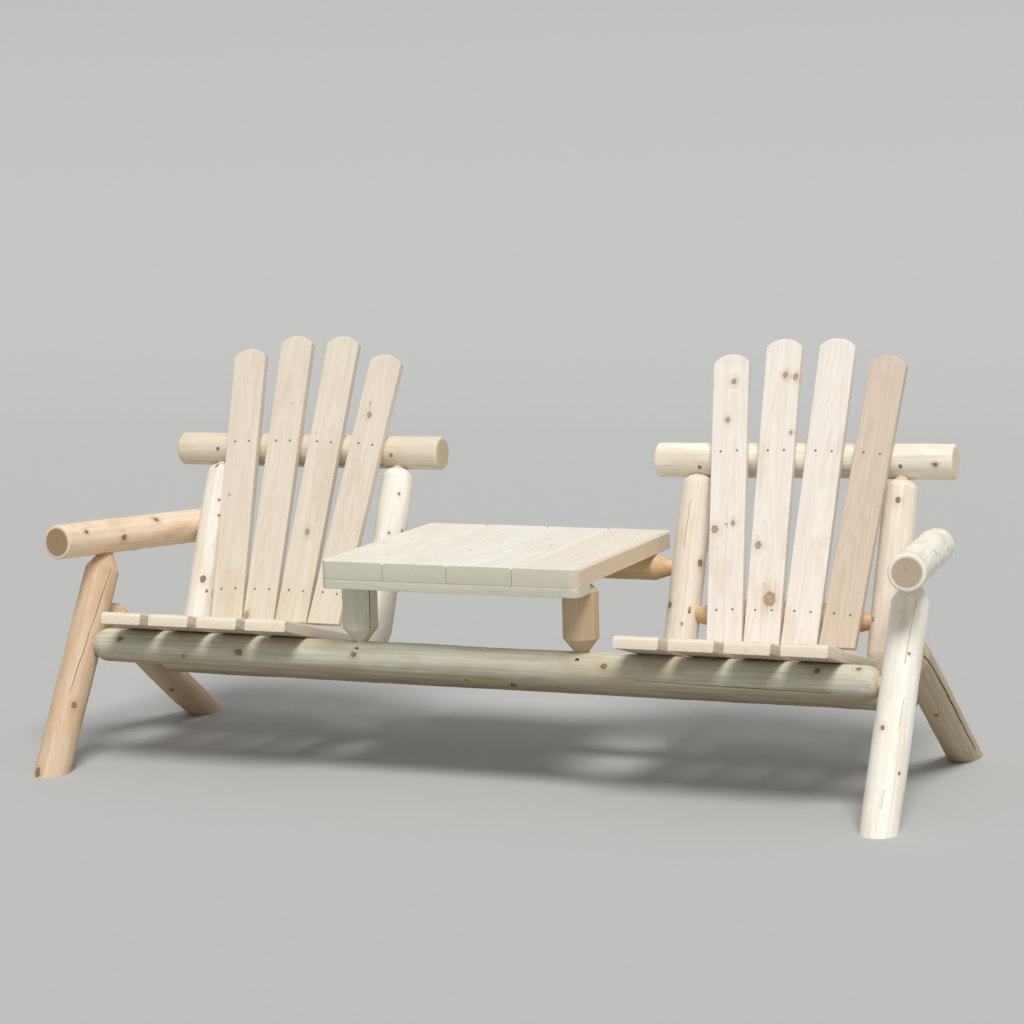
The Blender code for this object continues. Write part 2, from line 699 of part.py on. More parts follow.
def chairs(cream, slat_surface, board_surface):
    for side in (-1, 1):
        for place in ("outer", "inner"):
            back_post(side, place, cream)
        top_rail(side, cream)
        lower_back_rail(side, cream)
        for number in range(1, SLATS + 1):
            back_slat(side, number, slat_surface)
        for number in range(1, SEAT_BOARDS + 1):
            seat_board(side, number, board_surface)


def table(cream, board_surface):
    for number in range(1, TABLE_BOARDS + 1):
        table_board(number, board_surface)
    table_cleat(board_surface)
    table_post(-1, cream)
    table_post(1, cream)
    table_cross_rail(cream)


def build():
    for old in list(bpy.data.objects):
        bpy.data.objects.remove(old)
    cream = cream_log()
    boards = board_wood()
    frame_logs(cream, tan_log())
    chairs(cream, slat_wood(), boards)
    table(cream, boards)
    screws(steel())


build()
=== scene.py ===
"""Looks of the garden bench: peeled cedar logs and planed boards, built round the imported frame.

Every piece is made from its own CAD node: the node's corners give the log's axis and rings, or the
board's outline, and this script adds what a saw, a drawknife and the weather do to them.
In a piece's own space +Z runs along the grain.
"""

import math

import bpy
import numpy as np
from mathutils import Matrix, Vector
from mathutils.kdtree import KDTree


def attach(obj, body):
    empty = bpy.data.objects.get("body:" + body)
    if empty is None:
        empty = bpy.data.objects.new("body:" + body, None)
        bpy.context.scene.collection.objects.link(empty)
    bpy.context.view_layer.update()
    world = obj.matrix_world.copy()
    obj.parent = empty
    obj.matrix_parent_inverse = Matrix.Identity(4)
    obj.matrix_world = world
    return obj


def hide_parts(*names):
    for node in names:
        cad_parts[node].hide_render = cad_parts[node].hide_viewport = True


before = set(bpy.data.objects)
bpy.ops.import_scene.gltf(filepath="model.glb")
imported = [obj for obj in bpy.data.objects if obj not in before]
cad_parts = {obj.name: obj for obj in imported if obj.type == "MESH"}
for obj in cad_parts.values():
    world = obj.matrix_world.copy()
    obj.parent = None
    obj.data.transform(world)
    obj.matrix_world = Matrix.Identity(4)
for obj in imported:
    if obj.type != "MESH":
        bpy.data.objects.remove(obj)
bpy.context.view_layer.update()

X_AXIS = np.array((1.0, 0.0, 0.0))
Y_AXIS = np.array((0.0, 1.0, 0.0))
Z_AXIS = np.array((0.0, 0.0, 1.0))
SIDES = ("left", "right")
FULL_TURN = 2.0 * math.pi

# --- how finely the wood is meshed ---
LOG_COLUMNS = 84
RING_STEP = 0.006
CONE_STEP = 0.0025
BOARD_STEP = 0.009
BOARD_COLUMNS = 30
SHOULDER_RINGS = (-0.002, -0.001, 0.0, 0.0012, 0.0025)
END_SHARES = (0.965, 0.8, 0.6, 0.4, 0.2, 0.07)
SMOOTH_ANGLE = math.radians(32.0)
HAIR = 0.00015                              # a notch's corner is two columns, this far to each side

# --- the CAD's own measures ---
TENON_R = 0.016
GROUND_TOLERANCE = 0.0005
RING_TOLERANCE = 0.0004
TENON_TOLERANCE = 0.0005
AXIS_SLABS = (0.016, 0.008, 0.004, 0.002, 0.0008)
CLEAT_CORNER = 0.021

# --- how uneven the wood is ---
FLAT_END_EASE = 0.0012
BOARD_WAVE = 0.00025
STRAIGHT_SHARES = (0.12, 0.88)              # shares of a slat between which its edges run straight
FOOT_SETTLE = 0.16                          # length over which a leg's rings turn to the ground
LOG_LUMPS = ((0.0005, 3, 0.16), (0.00028, 9, 0.05))     # height, waves round and shortest length
CRACK_WAVES = (70.0, 190.0)                 # radians per metre of the waves in a crack's line
CRACK_SWAY = 0.0004
CRACK_FADE = 0.03                           # length past a crack's ends over which columns swing back
CRACK_SPREAD = 9                            # columns to each side that make room for a crack
KNOT_RISE = 0.0009
KNOT_REACH = 3.4                            # sizes of a knot beyond which the grain is undisturbed
NO_KNOT = np.array((1.0, 1.0, 0.0001))      # offsets from a knot that is far away, and its size
NO_CRACK = np.array((1.0, 0.00001, 0.0))    # distance from a crack that is far away, and its half width


# --- reading the frame ---
def corners(node):
    found = np.array([v.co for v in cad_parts[node].data.vertices], float)
    return np.unique(found.round(6), axis=0)


def unit(vector):
    return vector / np.linalg.norm(vector)


def middle(points):
    return 0.5 * (points.min(axis=0) + points.max(axis=0))


def face_spread(node):
    """Area-weighted spread of the node's face normals, and those normals and areas."""
    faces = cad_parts[node].data.polygons
    normals = np.array([f.normal for f in faces], float)
    areas = np.array([f.area for f in faces], float)
    return (normals * areas[:, None]).T @ normals, normals, areas


def own_space(x, y, z, origin):
    """A piece's own space, from its three directions and its origin."""
    made = Matrix.Identity(4)
    for row in range(3):
        made[row] = (x[row], y[row], z[row], origin[row])
    return made


class Log:
    """Axis, radius and shoulders of a turned CAD log. Low is its front, left or bottom end.

    Its own space has Z along the grain and X to the front, or up where the grain runs back.
    """

    def __init__(self, node, toward):
        co = corners(node)
        spread = face_spread(node)[0]
        direction = np.linalg.eigh(spread)[1][:, 0]
        if direction @ toward < 0.0:
            direction = -direction
        on_ground = co[:, 2].min() < GROUND_TOLERANCE
        for slab in AXIS_SLABS:
            along = co @ direction
            high = middle(co[along > along.max() - slab])
            low = middle(co[along < along.min() + slab])
            if on_ground:
                low = middle(co[co[:, 2] < GROUND_TOLERANCE])
            direction = unit(high - low)
        self.node = node
        self.on_ground = on_ground
        self.start = low
        self.direction = direction
        along = (co - low) @ direction
        away = np.linalg.norm(co - low - along[:, None] * direction, axis=1)
        self.length = along.max()
        self.radius = away.max()
        full = along[away > self.radius - RING_TOLERANCE]
        self.full_low = full.min() if not on_ground else 0.0
        self.full_high = full.max()
        self.low_tenon = self.tenon_end(along, away, along < self.full_low)
        self.high_tenon = self.tenon_end(along, away, along > self.full_high)
        facing = Z_AXIS if abs(direction[1]) > 0.9 else -Y_AXIS
        x = unit(facing - (facing @ direction) * direction)
        self.matrix = own_space(x, np.cross(direction, x), direction, low)

    def tenon_end(self, along, away, beyond):
        """Where the tenon meets its cone, or None at a sawn end."""
        ring = beyond & (abs(away - TENON_R) < TENON_TOLERANCE)
        if not ring.any():
            return None
        near_low = along[ring].mean() < 0.5 * self.length
        return along[ring].max() if near_low else along[ring].min()


class Board:
    """Plane, widths and outline of a CAD board. X is across it, Y out of its best face."""

    def __init__(self, node, facing, toward):
        spread, normals, areas = face_spread(node)
        vectors = np.linalg.eigh(spread)[1]
        out = self.settle(normals, areas, vectors[:, 2])
        across = self.settle(normals, areas, vectors[:, 1])
        if out @ facing < 0.0:
            out = -out
        across = unit(across - (across @ out) * out)
        grain = np.cross(across, out)
        if grain @ toward < 0.0:
            grain = -grain
            across = -across
        co = corners(node)
        local = np.stack((co @ across, co @ out, co @ grain), axis=1)
        self.node = node
        self.low = local.min(axis=0)
        self.high = local.max(axis=0)
        self.thick = self.high[1] - self.low[1]
        centre = 0.5 * (self.low + self.high)
        centre[2] = self.low[2]
        self.origin = centre
        start = centre[0] * across + centre[1] * out + centre[2] * grain
        self.matrix = own_space(across, out, grain, start)
        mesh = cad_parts[node].data
        raw = np.array([v.co for v in mesh.vertices], float)
        flat = np.stack((raw @ across, raw @ grain), axis=1) - (centre[0], centre[2])
        self.edges = np.array([(*flat[e.vertices[0]], *flat[e.vertices[1]]) for e in mesh.edges])
        self.length = self.high[2] - self.low[2]

    @staticmethod
    def settle(normals, areas, guess):
        """The mean of the face normals that lie along the guess."""
        lean = normals @ guess
        near = abs(lean) > 0.99
        return unit((normals[near] * (np.sign(lean[near]) * areas[near])[:, None]).sum(axis=0))

    def crossings(self, at, axis):
        """Range of the outline where it crosses a line: axis 0 at x, axis 1 at a length."""
        a0, b0 = self.edges[:, axis], self.edges[:, 2 + axis]
        a1, b1 = self.edges[:, 1 - axis], self.edges[:, 3 - axis]
        span = b0 - a0
        crosses = (np.minimum(a0, b0) <= at) & (np.maximum(a0, b0) >= at) & (abs(span) > 1e-9)
        t = (at - a0[crosses]) / span[crosses]
        found = a1[crosses] + t * (b1[crosses] - a1[crosses])
        return found.min(), found.max()

    def steps(self):
        """Places across the board where a notch steps its outline."""
        aside = abs(self.edges[:, 0] - self.edges[:, 2])
        along = abs(self.edges[:, 1] - self.edges[:, 3])
        found = np.unique(self.edges[(aside < 0.0001) & (along > 0.05), 0].round(4))
        inner = 0.8 * (self.high[0] - self.origin[0])
        return [x for x in found if abs(x) < inner]


# --- small mesh helpers ---
def quarter_turn(count):
    return np.linspace(0.0, 0.5 * math.pi, count)


def round_turn(count):
    return np.arange(count) * FULL_TURN / count


def smooth_step(low, high, value):
    t = np.clip((value - low) / (high - low), 0.0, 1.0)
    return t * t * (3.0 - 2.0 * t)


def ripple(rng, theta, along, amount, turns, wave, terms=7):
    """Smooth waves round and along a log. Turns is the most waves round it, wave the shortest length."""
    total = np.zeros(np.broadcast(theta, along).shape)
    for _ in range(terms):
        around = rng.integers(0, turns + 1)
        length = wave * (1.0 + 2.5 * rng.random())
        phase = rng.random(2) * FULL_TURN
        total += np.cos(around * theta + phase[0]) * np.cos(FULL_TURN * along / length + phase[1])
    return amount * total / math.sqrt(terms)


def add_object(name, data):
    made = bpy.data.objects.new(name, data)
    bpy.context.scene.collection.objects.link(made)
    return made


def add_piece(name, verts, faces, matrix, surface, layers=None):
    mesh = bpy.data.meshes.new(name)
    mesh.from_pydata(verts.tolist(), [], faces)
    mesh.validate()
    for layer, values in (layers or {}).items():
        attribute = mesh.attributes.new(layer, "FLOAT_VECTOR", "POINT")
        attribute.data.foreach_set("vector", values.astype(np.float32).ravel())
    mesh.shade_smooth()
    mesh.set_sharp_from_angle(angle=SMOOTH_ANGLE)
    mesh.materials.append(surface)
    piece = add_object(name, mesh)
    piece.matrix_world = matrix
    return piece


def place(piece, slot, *nodes):
    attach(piece, "root")
    if nodes:
        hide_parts(*nodes)


def tube_faces(rings, columns):
    faces = []
    for ring in range(rings - 1):
        for k in range(columns):
            after = (k + 1) % columns
            low = ring * columns
            high = low + columns
            faces.append((low + k, low + after, high + after, high + k))
    return faces


# --- logs ---
def end_stations(log, tenon, full, inward):
    """Places of the rings at one end. Inward is 1 at the low end and -1 at the high end."""
    if tenon is not None:
        steps = max(4, int(abs(full - tenon) / CONE_STEP))
        places = list(np.linspace(tenon, full - 0.003 * inward, steps)) + [tenon - 0.012 * inward]
        return places + [full + inward * s for s in SHOULDER_RINGS]
    if log.on_ground and inward > 0:
        return [0.0, 0.0012]
    face = 0.0 if inward > 0 else log.length
    return list(np.linspace(face, full, 7)) + [full + 0.002 * inward]


def log_stations(log):
    """Places of the rings along a log, close together on cones and at rims."""
    count = max(8, int((log.full_high - log.full_low) / RING_STEP))
    stations = list(np.linspace(log.full_low + 0.004, log.full_high - 0.004, count))
    stations += end_stations(log, log.low_tenon, log.full_low, 1)
    stations += end_stations(log, log.high_tenon, log.full_high, -1)
    return np.array(sorted(set(np.round(stations, 6))))


def cone(log, share, fullness):
    """Radius of a tenon's cone, from a straight cone at no fullness to a round one at full."""
    share = np.clip(share, 0.0, 1.0)
    bulge = np.sqrt(1.0 - (1.0 - share) ** 2) - share
    return TENON_R + (log.radius - TENON_R) * (share + fullness * bulge)


def log_profile(log, s, fullness):
    """Radius along the log before any unevenness: a cone up to each tenon, or a sawn end's rim."""
    radius = np.full(s.shape, log.radius)
    for tenon, full, ease, inward in (
            (log.low_tenon, log.full_low, log.full_low, s),
            (log.high_tenon, log.full_high, log.length - log.full_high, log.length - s)):
        if tenon is not None:
            radius = np.minimum(radius, cone(log, (s - tenon) / (full - tenon), fullness))
        elif ease > 0.0:
            radius = np.minimum(radius, rim(ease, inward, log.radius))
    return radius


def rim(ease, inward, radius):
    """Quarter-round of a sawn end, from its face inwards."""
    t = np.clip(inward / ease, 0.0, 1.0)
    return radius - ease * (1.0 - np.sqrt(1.0 - (1.0 - t) ** 2))


def crack_columns(theta, s, log, crack):
    """Pull three columns onto a crack. Returns its depth, the distance from it and its half width.

    A crack is its start and end along the log, the degrees round it at both, half width, depth and
    the phase of its waves.
    """
    start, end, (from_degrees, to_degrees), half_width, depth, phase = crack
    spacing = FULL_TURN / LOG_COLUMNS
    column = int(round(math.radians(0.5 * (from_degrees + to_degrees)) / spacing)) % LOG_COLUMNS
    t = np.clip((s - start) / (end - start), 0.0, 1.0)
    open_share = np.sqrt(np.clip(np.sin(math.pi * t) - 0.001, 0.0, 1.0))
    near = smooth_step(start - CRACK_FADE, start, s) * (1.0 - smooth_step(end, end + CRACK_FADE, s))
    shift = near * math.radians(to_degrees - from_degrees) * (t - 0.5)
    long_wave, short_wave = CRACK_WAVES
    waves = np.sin(long_wave * s + phase) + 0.6 * np.sin(short_wave * s + 2.0 * phase)
    shift += near * CRACK_SWAY / log.radius * waves
    for offset in range(1 - CRACK_SPREAD, CRACK_SPREAD):
        theta[:, (column + offset) % LOG_COLUMNS] += shift * (1.0 - abs(offset) / CRACK_SPREAD)
    half = half_width / log.radius
    squeeze = smooth_step(0.0, 0.25, open_share)
    for offset in (-1, 1):
        theta[:, (column + offset) % LOG_COLUMNS] -= offset * squeeze * (spacing - 1.3 * half)
    line = theta[:, column].copy()
    cut = np.zeros(theta.shape)
    cut[:, column] = depth * open_share
    away = (theta - line[:, None] + math.pi) % FULL_TURN - math.pi
    return cut, away * log.radius, half_width * open_share


def nearest_knot(knots, across, s, period=None):
    """Offset from each point to its nearest knot, and that knot's size."""
    best = np.full(across.shape, 9.0)
    layer = np.ones(across.shape + (3,))
    layer[..., 2] = 0.01
    for knot_across, knot_s, size in knots:
        du = across - knot_across
        if period:
            du = (du + 0.5 * period) % period - 0.5 * period
        dv = (s - knot_s) * 0.8
        reach = np.sqrt(du * du + dv * dv) / size
        closer = reach < best
        best = np.where(closer, reach, best)
        layer[closer] = np.stack((du, dv, np.full(du.shape, size)), axis=-1)[closer]
    far = best > KNOT_REACH
    length = np.hypot(layer[..., 0], layer[..., 1])
    layer[far, 0] /= length[far]
    layer[far, 1] /= length[far]
    layer[far, 2] = 0.0001
    return layer, best


def cut_cracks(theta, s, log, cracks):
    """Move columns onto every crack. Returns the depth of the cracks and their layer."""
    cut = np.zeros(theta.shape)
    layer = np.tile(NO_CRACK, theta.shape + (1,))
    for crack in cracks:
        depth, across, half = crack_columns(theta, s, log, crack)
        cut += depth
        half = np.broadcast_to(half[:, None], across.shape)
        nearer = (abs(across) < abs(layer[..., 0])) & (half > 0.0)
        layer[..., 0] = np.where(nearer, across, layer[..., 0])
        layer[..., 1] = np.where(nearer, half, layer[..., 1])
    return cut, layer


def bowed(log, radius, theta, along, bow):
    """Places of a log's vertices, with its middle swung aside by the bow."""
    span = np.clip((along - log.full_low) / (log.full_high - log.full_low), 0.0, 1.0)
    arch = np.sin(math.pi * span)
    sway = 0.3 * np.sin(FULL_TURN * span)
    return radius * np.cos(theta) + bow[0] * (arch + sway), radius * np.sin(theta) + bow[1] * (arch - sway)


def make_log(log, look, surface, slot):
    """A log with its bow, unevenness, knots and cracks."""
    rng = np.random.default_rng(look["seed"])
    s = log_stations(log)
    rings = len(s)
    theta = np.tile(round_turn(LOG_COLUMNS), (rings, 1))
    cut, crack_layer = cut_cracks(theta, s, log, look["cracks"])
    along = np.tile(s[:, None], (1, LOG_COLUMNS))
    uneven = sum(ripple(rng, theta, along, *lump) for lump in LOG_LUMPS)
    profile = log_profile(log, s, look["fullness"])[:, None]
    share = smooth_step(TENON_R, log.radius, profile)
    radius = profile + uneven * share
    knots = [(math.radians(k[1]) * log.radius, k[0], k[2]) for k in look["knots"]]
    knot_layer, reach = nearest_knot(knots, theta * log.radius, along, FULL_TURN * log.radius)
    radius += KNOT_RISE * np.exp(-((reach / 1.7) ** 2)) * share
    radius -= cut + look["knife"] * abs(np.sin(7.0 * theta)) * share * (1.0 - share) * 4.0
    x, y = bowed(log, radius, theta, along, look["bow"])
    z = stand_on_ground(log, x, y, along) if log.on_ground else along
    verts = np.stack((x, y, z), axis=-1).reshape(-1, 3)
    faces = tube_faces(rings, LOG_COLUMNS)
    verts, faces, layers = close_ends(verts, faces, rings, [knot_layer, crack_layer])
    layers = {"knot": layers[0], "crack": layers[1]}
    piece = add_piece(log.node + "_wood", verts, faces, log.matrix, surface, layers)
    if "frame" in look:
        # a leaning leg's mesh is kept upright, so that its own box ends at the ground
        piece.data.transform(look["frame"])
        piece.matrix_world = Matrix.Identity(4)
    place(piece, slot, log.node)
    return piece


def stand_on_ground(log, x, y, z):
    """Slide the first rings along the grain so that the foot is sawn flat on the ground."""
    m = np.array(log.matrix)
    ground = -(m[2, 3] + m[2, 0] * x + m[2, 1] * y) / m[2, 2]
    return np.where(z < FOOT_SETTLE, ground + (FOOT_SETTLE - ground) * (z / FOOT_SETTLE), z)


def extended(layers, count):
    """The knot and crack layers with a number of far values added."""
    return [np.vstack((layer, np.tile(far, (count, 1)))) for layer, far in zip(layers, (NO_KNOT, NO_CRACK))]


def close_ends(verts, faces, rings, layers):
    """Close both ends with rings of vertices that run in to the pith."""
    columns = LOG_COLUMNS
    flat = [layer.reshape(-1, 3) for layer in layers]
    for end, ring in ((0, 0), (1, rings - 1)):
        edge = ring * columns
        rim_points = verts[edge:edge + columns]
        centre = rim_points.mean(axis=0)
        before = edge
        for share in END_SHARES:
            start = len(verts)
            points = centre + (rim_points - centre) * share
            verts = np.vstack((verts, points))
            for k in range(columns):
                after = (k + 1) % columns
                quad = (before + k, start + k, start + after, before + after)
                faces.append(quad if end == 0 else tuple(reversed(quad)))
            flat = extended(flat, columns)
            before = start
        verts = np.vstack((verts, centre))
        flat = extended(flat, 1)
        tip = len(verts) - 1
        for k in range(columns):
            after = (k + 1) % columns
            face = (before + k, tip, before + after)
            faces.append(face if end == 0 else tuple(reversed(face)))
    return verts, faces, flat


# --- boards ---
def board_section(half_width, ease, half_thick, chamfered, widest_ease):
    """Columns over the best face: share of the half width, inset from the edge, and height."""
    shares = np.sin(np.linspace(-0.5 * math.pi, 0.5 * math.pi, BOARD_COLUMNS))
    turns = quarter_turn(5)
    drops = [math.cos(a) if chamfered else 1.0 - math.sin(a) for a in turns]
    left = [(-1.0, ease * (1.0 - math.cos(a)), half_thick - ease * drop) for a, drop in zip(turns, drops)]
    clear = 1.0 - 1.2 * widest_ease / half_width
    flat = [(share, 0.0, half_thick) for share in shares if abs(share) < clear]
    right = [(1.0, inset, height) for _, inset, height in reversed(left)]
    return left + flat + right


def board_edges(board, parallel, shy):
    """Places of the two long edges at the foot and at the head of the board."""
    if parallel:
        edges = np.array((board.low[0] + shy, board.high[0] - shy)) - board.origin[0]
        return edges, edges
    low, high = STRAIGHT_SHARES
    near_foot = np.array(board.crossings(low * board.length, 1))
    near_head = np.array(board.crossings(high * board.length, 1))
    slope = (near_head - near_foot) / (high - low)
    return near_foot - low * slope, near_head + (1.0 - high) * slope


def board_columns(board, look, ease):
    """For every column: its x at foot and head, where it starts and ends, and its height."""
    foot, head = board_edges(board, look.get("parallel"), look.get("shy", 0.0))
    half_width = 0.5 * (foot[1] - foot[0])
    half_thick = 0.5 * board.thick
    columns = []
    section = board_section(half_width, ease, half_thick, look.get("chamfered"), look["ease"])
    for share, inset, height in section:
        pair = []
        for low, high in (foot, head):
            pair.append(0.5 * (low + high) + 0.5 * (high - low) * share - math.copysign(inset, share))
        columns.append((pair[0], pair[1], height))
    for step in board.steps():
        index = next(k for k, column in enumerate(columns) if column[0] > step)
        columns[index:index] = [(x, x, half_thick) for x in (step - HAIR, step + HAIR)]
    made = []
    for x_foot, x_head, height in columns:
        start = board.crossings(np.clip(x_foot, foot[0] + HAIR, foot[1] - HAIR), 0)[0]
        end = board.crossings(np.clip(x_head, head[0] + HAIR, head[1] - HAIR), 0)[1]
        made.append((x_foot, x_head, start, end, height))
    return made


def board_stations(board, foot_ease, head_ease):
    """Distances along a board, close together over its rounded ends."""
    turns = quarter_turn(8)
    foot = foot_ease * (1.0 - np.cos(turns))
    head = board.length - head_ease * (1.0 - np.cos(turns[::2]))
    count = max(10, int(board.length / BOARD_STEP))
    inner = np.linspace(foot[-1] + 0.003, board.length - head_ease - 0.003, count)
    return np.concatenate((foot, inner, head[::-1]))


def make_board(board, look, surface, slot):
    """A planed board lofted along its grain inside the outline of its CAD node."""
    rng = np.random.default_rng(look["seed"])
    half_thick = 0.5 * board.thick
    end_ease = look.get("end_ease", FLAT_END_EASE)
    nose = look.get("nose", end_ease)
    columns = np.array(board_columns(board, look, look["ease"]))
    under = np.array(board_columns(board, look, look.get("ease_below", look["ease"])))
    x_foot, x_head, start, end, height = np.concatenate((columns, under[::-1])).T
    stations = board_stations(board, nose, end_ease)
    t = (stations / board.length)[:, None]
    x = x_foot + (x_head - x_foot) * t
    z = start + (end - start) * t
    half_count = len(columns)
    inward = stations[:, None]
    head_limit = rim(end_ease, board.length - inward, half_thick)
    above = np.minimum(rim(nose, inward, half_thick), head_limit)
    below = np.minimum(rim(end_ease, inward, half_thick), head_limit)
    y = np.minimum(height, above)
    y[:, half_count:] = -np.minimum(height, below)[:, half_count:]
    y += ripple(rng, np.zeros(x.shape), z, BOARD_WAVE, 0, 0.35)
    count = 2 * half_count
    ends = [(k, k + 1, count - 2 - k, count - 1 - k) for k in range(half_count - 1)]
    add_board(board, x, y, z, ends, look, surface, slot)


def add_board(board, x, y, z, ends, look, surface, slot):
    """The piece of a board whose rings are the rows of x, y and z. Ends are the faces of the first ring."""
    knots = [(k[1], k[0], k[2]) for k in look["knots"]]
    knot_layer, _ = nearest_knot(knots, x, z)
    crack_layer = np.tile(NO_CRACK, x.shape + (1,))
    verts = np.stack((x, y, z), axis=-1).reshape(-1, 3)
    rings, count = x.shape
    faces = [tuple(reversed(f)) for f in tube_faces(rings, count)]
    last = (rings - 1) * count
    for face in ends:
        faces.append(face)
        faces.append(tuple(last + v for v in reversed(face)))
    layers = {"knot": knot_layer.reshape(-1, 3), "crack": crack_layer.reshape(-1, 3)}
    piece = add_piece(board.node + "_wood", verts, faces, board.matrix, surface, layers)
    place(piece, slot, board.node)


def make_cleat(look, surface, posts):
    """The cleat under the front of the table, its rear edge scribed round the two posts."""
    board = Board("table_cleat", Z_AXIS, X_AXIS)
    half_thick = 0.5 * board.thick
    corner = CLEAT_CORNER * (1.0 - np.cos(quarter_turn(11)))
    z = np.concatenate((corner, np.arange(0.024, board.length - 0.023, 0.003), board.length - corner[::-1]))
    front = np.array([board.crossings(np.clip(v, HAIR, board.length - HAIR), 1)[0] for v in z])
    turns = quarter_turn(4)
    ease = look["ease"]
    rounding = [(ease * (1.0 - math.sin(a)), half_thick - ease * (1.0 - math.cos(a))) for a in turns]
    loop = [(True, inset, height) for inset, height in reversed(rounding)]
    loop += [(False, inset, height) for inset, height in rounding]
    loop += [(False, inset, -height) for inset, height in reversed(rounding)]
    loop += [(True, inset, -height) for inset, height in rounding]
    x = np.zeros((len(z), len(loop)))
    y = np.zeros(x.shape)
    for k, (at_front, inset, height) in enumerate(loop):
        rear = scribed_edge(board, posts, z, height)
        x[:, k] = front + inset if at_front else rear - inset
        y[:, k] = height
    along = np.tile(z[:, None], (1, len(loop)))
    add_board(board, x, y, along, [tuple(range(len(loop)))], look, surface, "board")


def scribed_edge(board, posts, z, height):
    """The cleat's rear edge at a height, kept just clear of both posts."""
    rear = np.full(z.shape, board.high[0] - board.origin[0])
    for post in posts:
        s = board.origin[1] + height - post.start[2]
        reach = float(log_profile(post, np.array([s]), 0.0)[0]) + 0.0006
        beside = board.origin[2] + z - post.start[0]
        chord = np.sqrt(np.maximum(reach * reach - beside * beside, 0.0))
        scribe = post.start[1] - chord - board.origin[0]
        rear = np.where(abs(beside) < reach, np.minimum(rear, scribe), rear)
    return rear


# --- screws and nails ---
HEAD_COLUMNS = 48
HEAD_SHARES = (0.06, 0.12, 0.2, 0.3, 0.4, 0.5, 0.6, 0.7, 0.82, 0.92, 0.98)
BORE_R = 0.009
NAIL_R = 0.0027
NAIL_PROUD = 0.0003


def read_layer(mesh, layer):
    values = np.zeros(3 * len(mesh.vertices), np.float32)
    mesh.attributes[layer].data.foreach_get("vector", values)
    return values.reshape(-1, 3)


def bore_arm(arm, lag):
    """Counterbore the outer side of an arm over its lag screw's head."""
    depth = lag.full_high + 0.0004
    profile = [(0.006, -0.03), (BORE_R, -0.03), (BORE_R, depth - 0.0005)]
    profile += [(BORE_R - 0.0005, depth), (0.004, depth)]
    mesh = bpy.data.meshes.new("bore")
    mesh.from_pydata(turned_verts(profile).tolist(), [], turned_faces(len(profile)))
    cutter = add_object("bore", mesh)
    cutter.matrix_world = lag.matrix
    whole = {layer: read_layer(arm.data, layer) for layer in ("knot", "crack")}
    tree = KDTree(len(arm.data.vertices))
    for index, vertex in enumerate(arm.data.vertices):
        tree.insert(vertex.co, index)
    tree.balance()
    change = arm.modifiers.new("bore", "BOOLEAN")
    change.operation = "DIFFERENCE"
    change.solver = "EXACT"
    change.object = cutter
    bpy.context.view_layer.update()
    graph = bpy.context.evaluated_depsgraph_get()
    bored = bpy.data.meshes.new_from_object(arm.evaluated_get(graph))
    arm.modifiers.clear()
    arm.data = bored
    bpy.data.objects.remove(cutter)
    nearest = [tree.find(vertex.co) for vertex in bored.vertices]
    source = np.array([found[1] for found in nearest])
    in_bore = np.array([found[2] > 1e-5 for found in nearest])
    for layer, far in (("knot", NO_KNOT), ("crack", NO_CRACK)):
        values = whole[layer][source]
        values[in_bore] = far
        bored.attributes[layer].data.foreach_set("vector", values.astype(np.float32).ravel())


def recess_depth(x, y, radius):
    """Depth of a cross recess in a screw's head."""
    reach = 0.62 * radius
    wide = 0.17 * radius
    in_cross = ((abs(x) < wide) & (abs(y) < reach)) | ((abs(y) < wide) & (abs(x) < reach))
    away = np.hypot(x, y) / reach
    return np.where(in_cross, 0.30 * radius * (1.05 - np.clip(away, 0.0, 1.0)), 0.0)


def turned_verts(profile, recessed=0):
    """Rings of a lathe profile of radius and height. The first rings may carry a cross recess."""
    angle = round_turn(HEAD_COLUMNS)
    verts = []
    for ring, (radius, height) in enumerate(profile):
        x = radius * np.cos(angle)
        y = radius * np.sin(angle)
        z = np.full(x.shape, height)
        if ring < recessed:
            z = z + recess_depth(x, y, profile[recessed - 1][0])
        verts.append(np.stack((x, y, z), axis=1))
    return np.concatenate(verts)


def turned_faces(rings, first=0):
    faces = [tuple(first + v for v in reversed(f)) for f in tube_faces(rings, HEAD_COLUMNS)]
    faces.append(tuple(first + v for v in range(HEAD_COLUMNS)))
    last = first + (rings - 1) * HEAD_COLUMNS
    faces.append(tuple(last + v for v in reversed(range(HEAD_COLUMNS))))
    return [tuple(reversed(f)) for f in faces]


def head_profile(radius, thick, dome):
    """From the middle of the head's face out over its domed rim and down its side."""
    face = [(share * radius, -dome * (1.0 - share ** 4)) for share in HEAD_SHARES]
    return face + [(radius, 0.12 * thick), (radius, 0.8 * thick), (0.97 * radius, thick)]


def make_screw(node, toward, surface):
    """A screw with a domed head, a cross recess and a threaded shank."""
    log = Log(node, toward)
    away = np.linalg.norm(np.cross(corners(node) - log.start, log.direction), axis=1)
    shank = away.min()
    thick = log.full_high
    profile = head_profile(log.radius, thick, 0.0007)
    face = len(profile) - 3
    z = thick
    pitch = 4.0 * shank / 3.0
    while z < log.length - 2.2 * pitch:
        turn = ((0.82, 0.1), (1.0, 0.5), (0.82, 0.9))
        profile += [(wide * shank, z + rise * pitch) for wide, rise in turn]
        z += pitch
    profile += [(0.75 * shank, z + 0.1 * pitch), (0.12 * shank, log.length - 0.0002)]
    verts = turned_verts(profile, face)
    piece = add_piece(node + "_steel", verts, turned_faces(len(profile)), log.matrix, surface)
    place(piece, "steel", node)


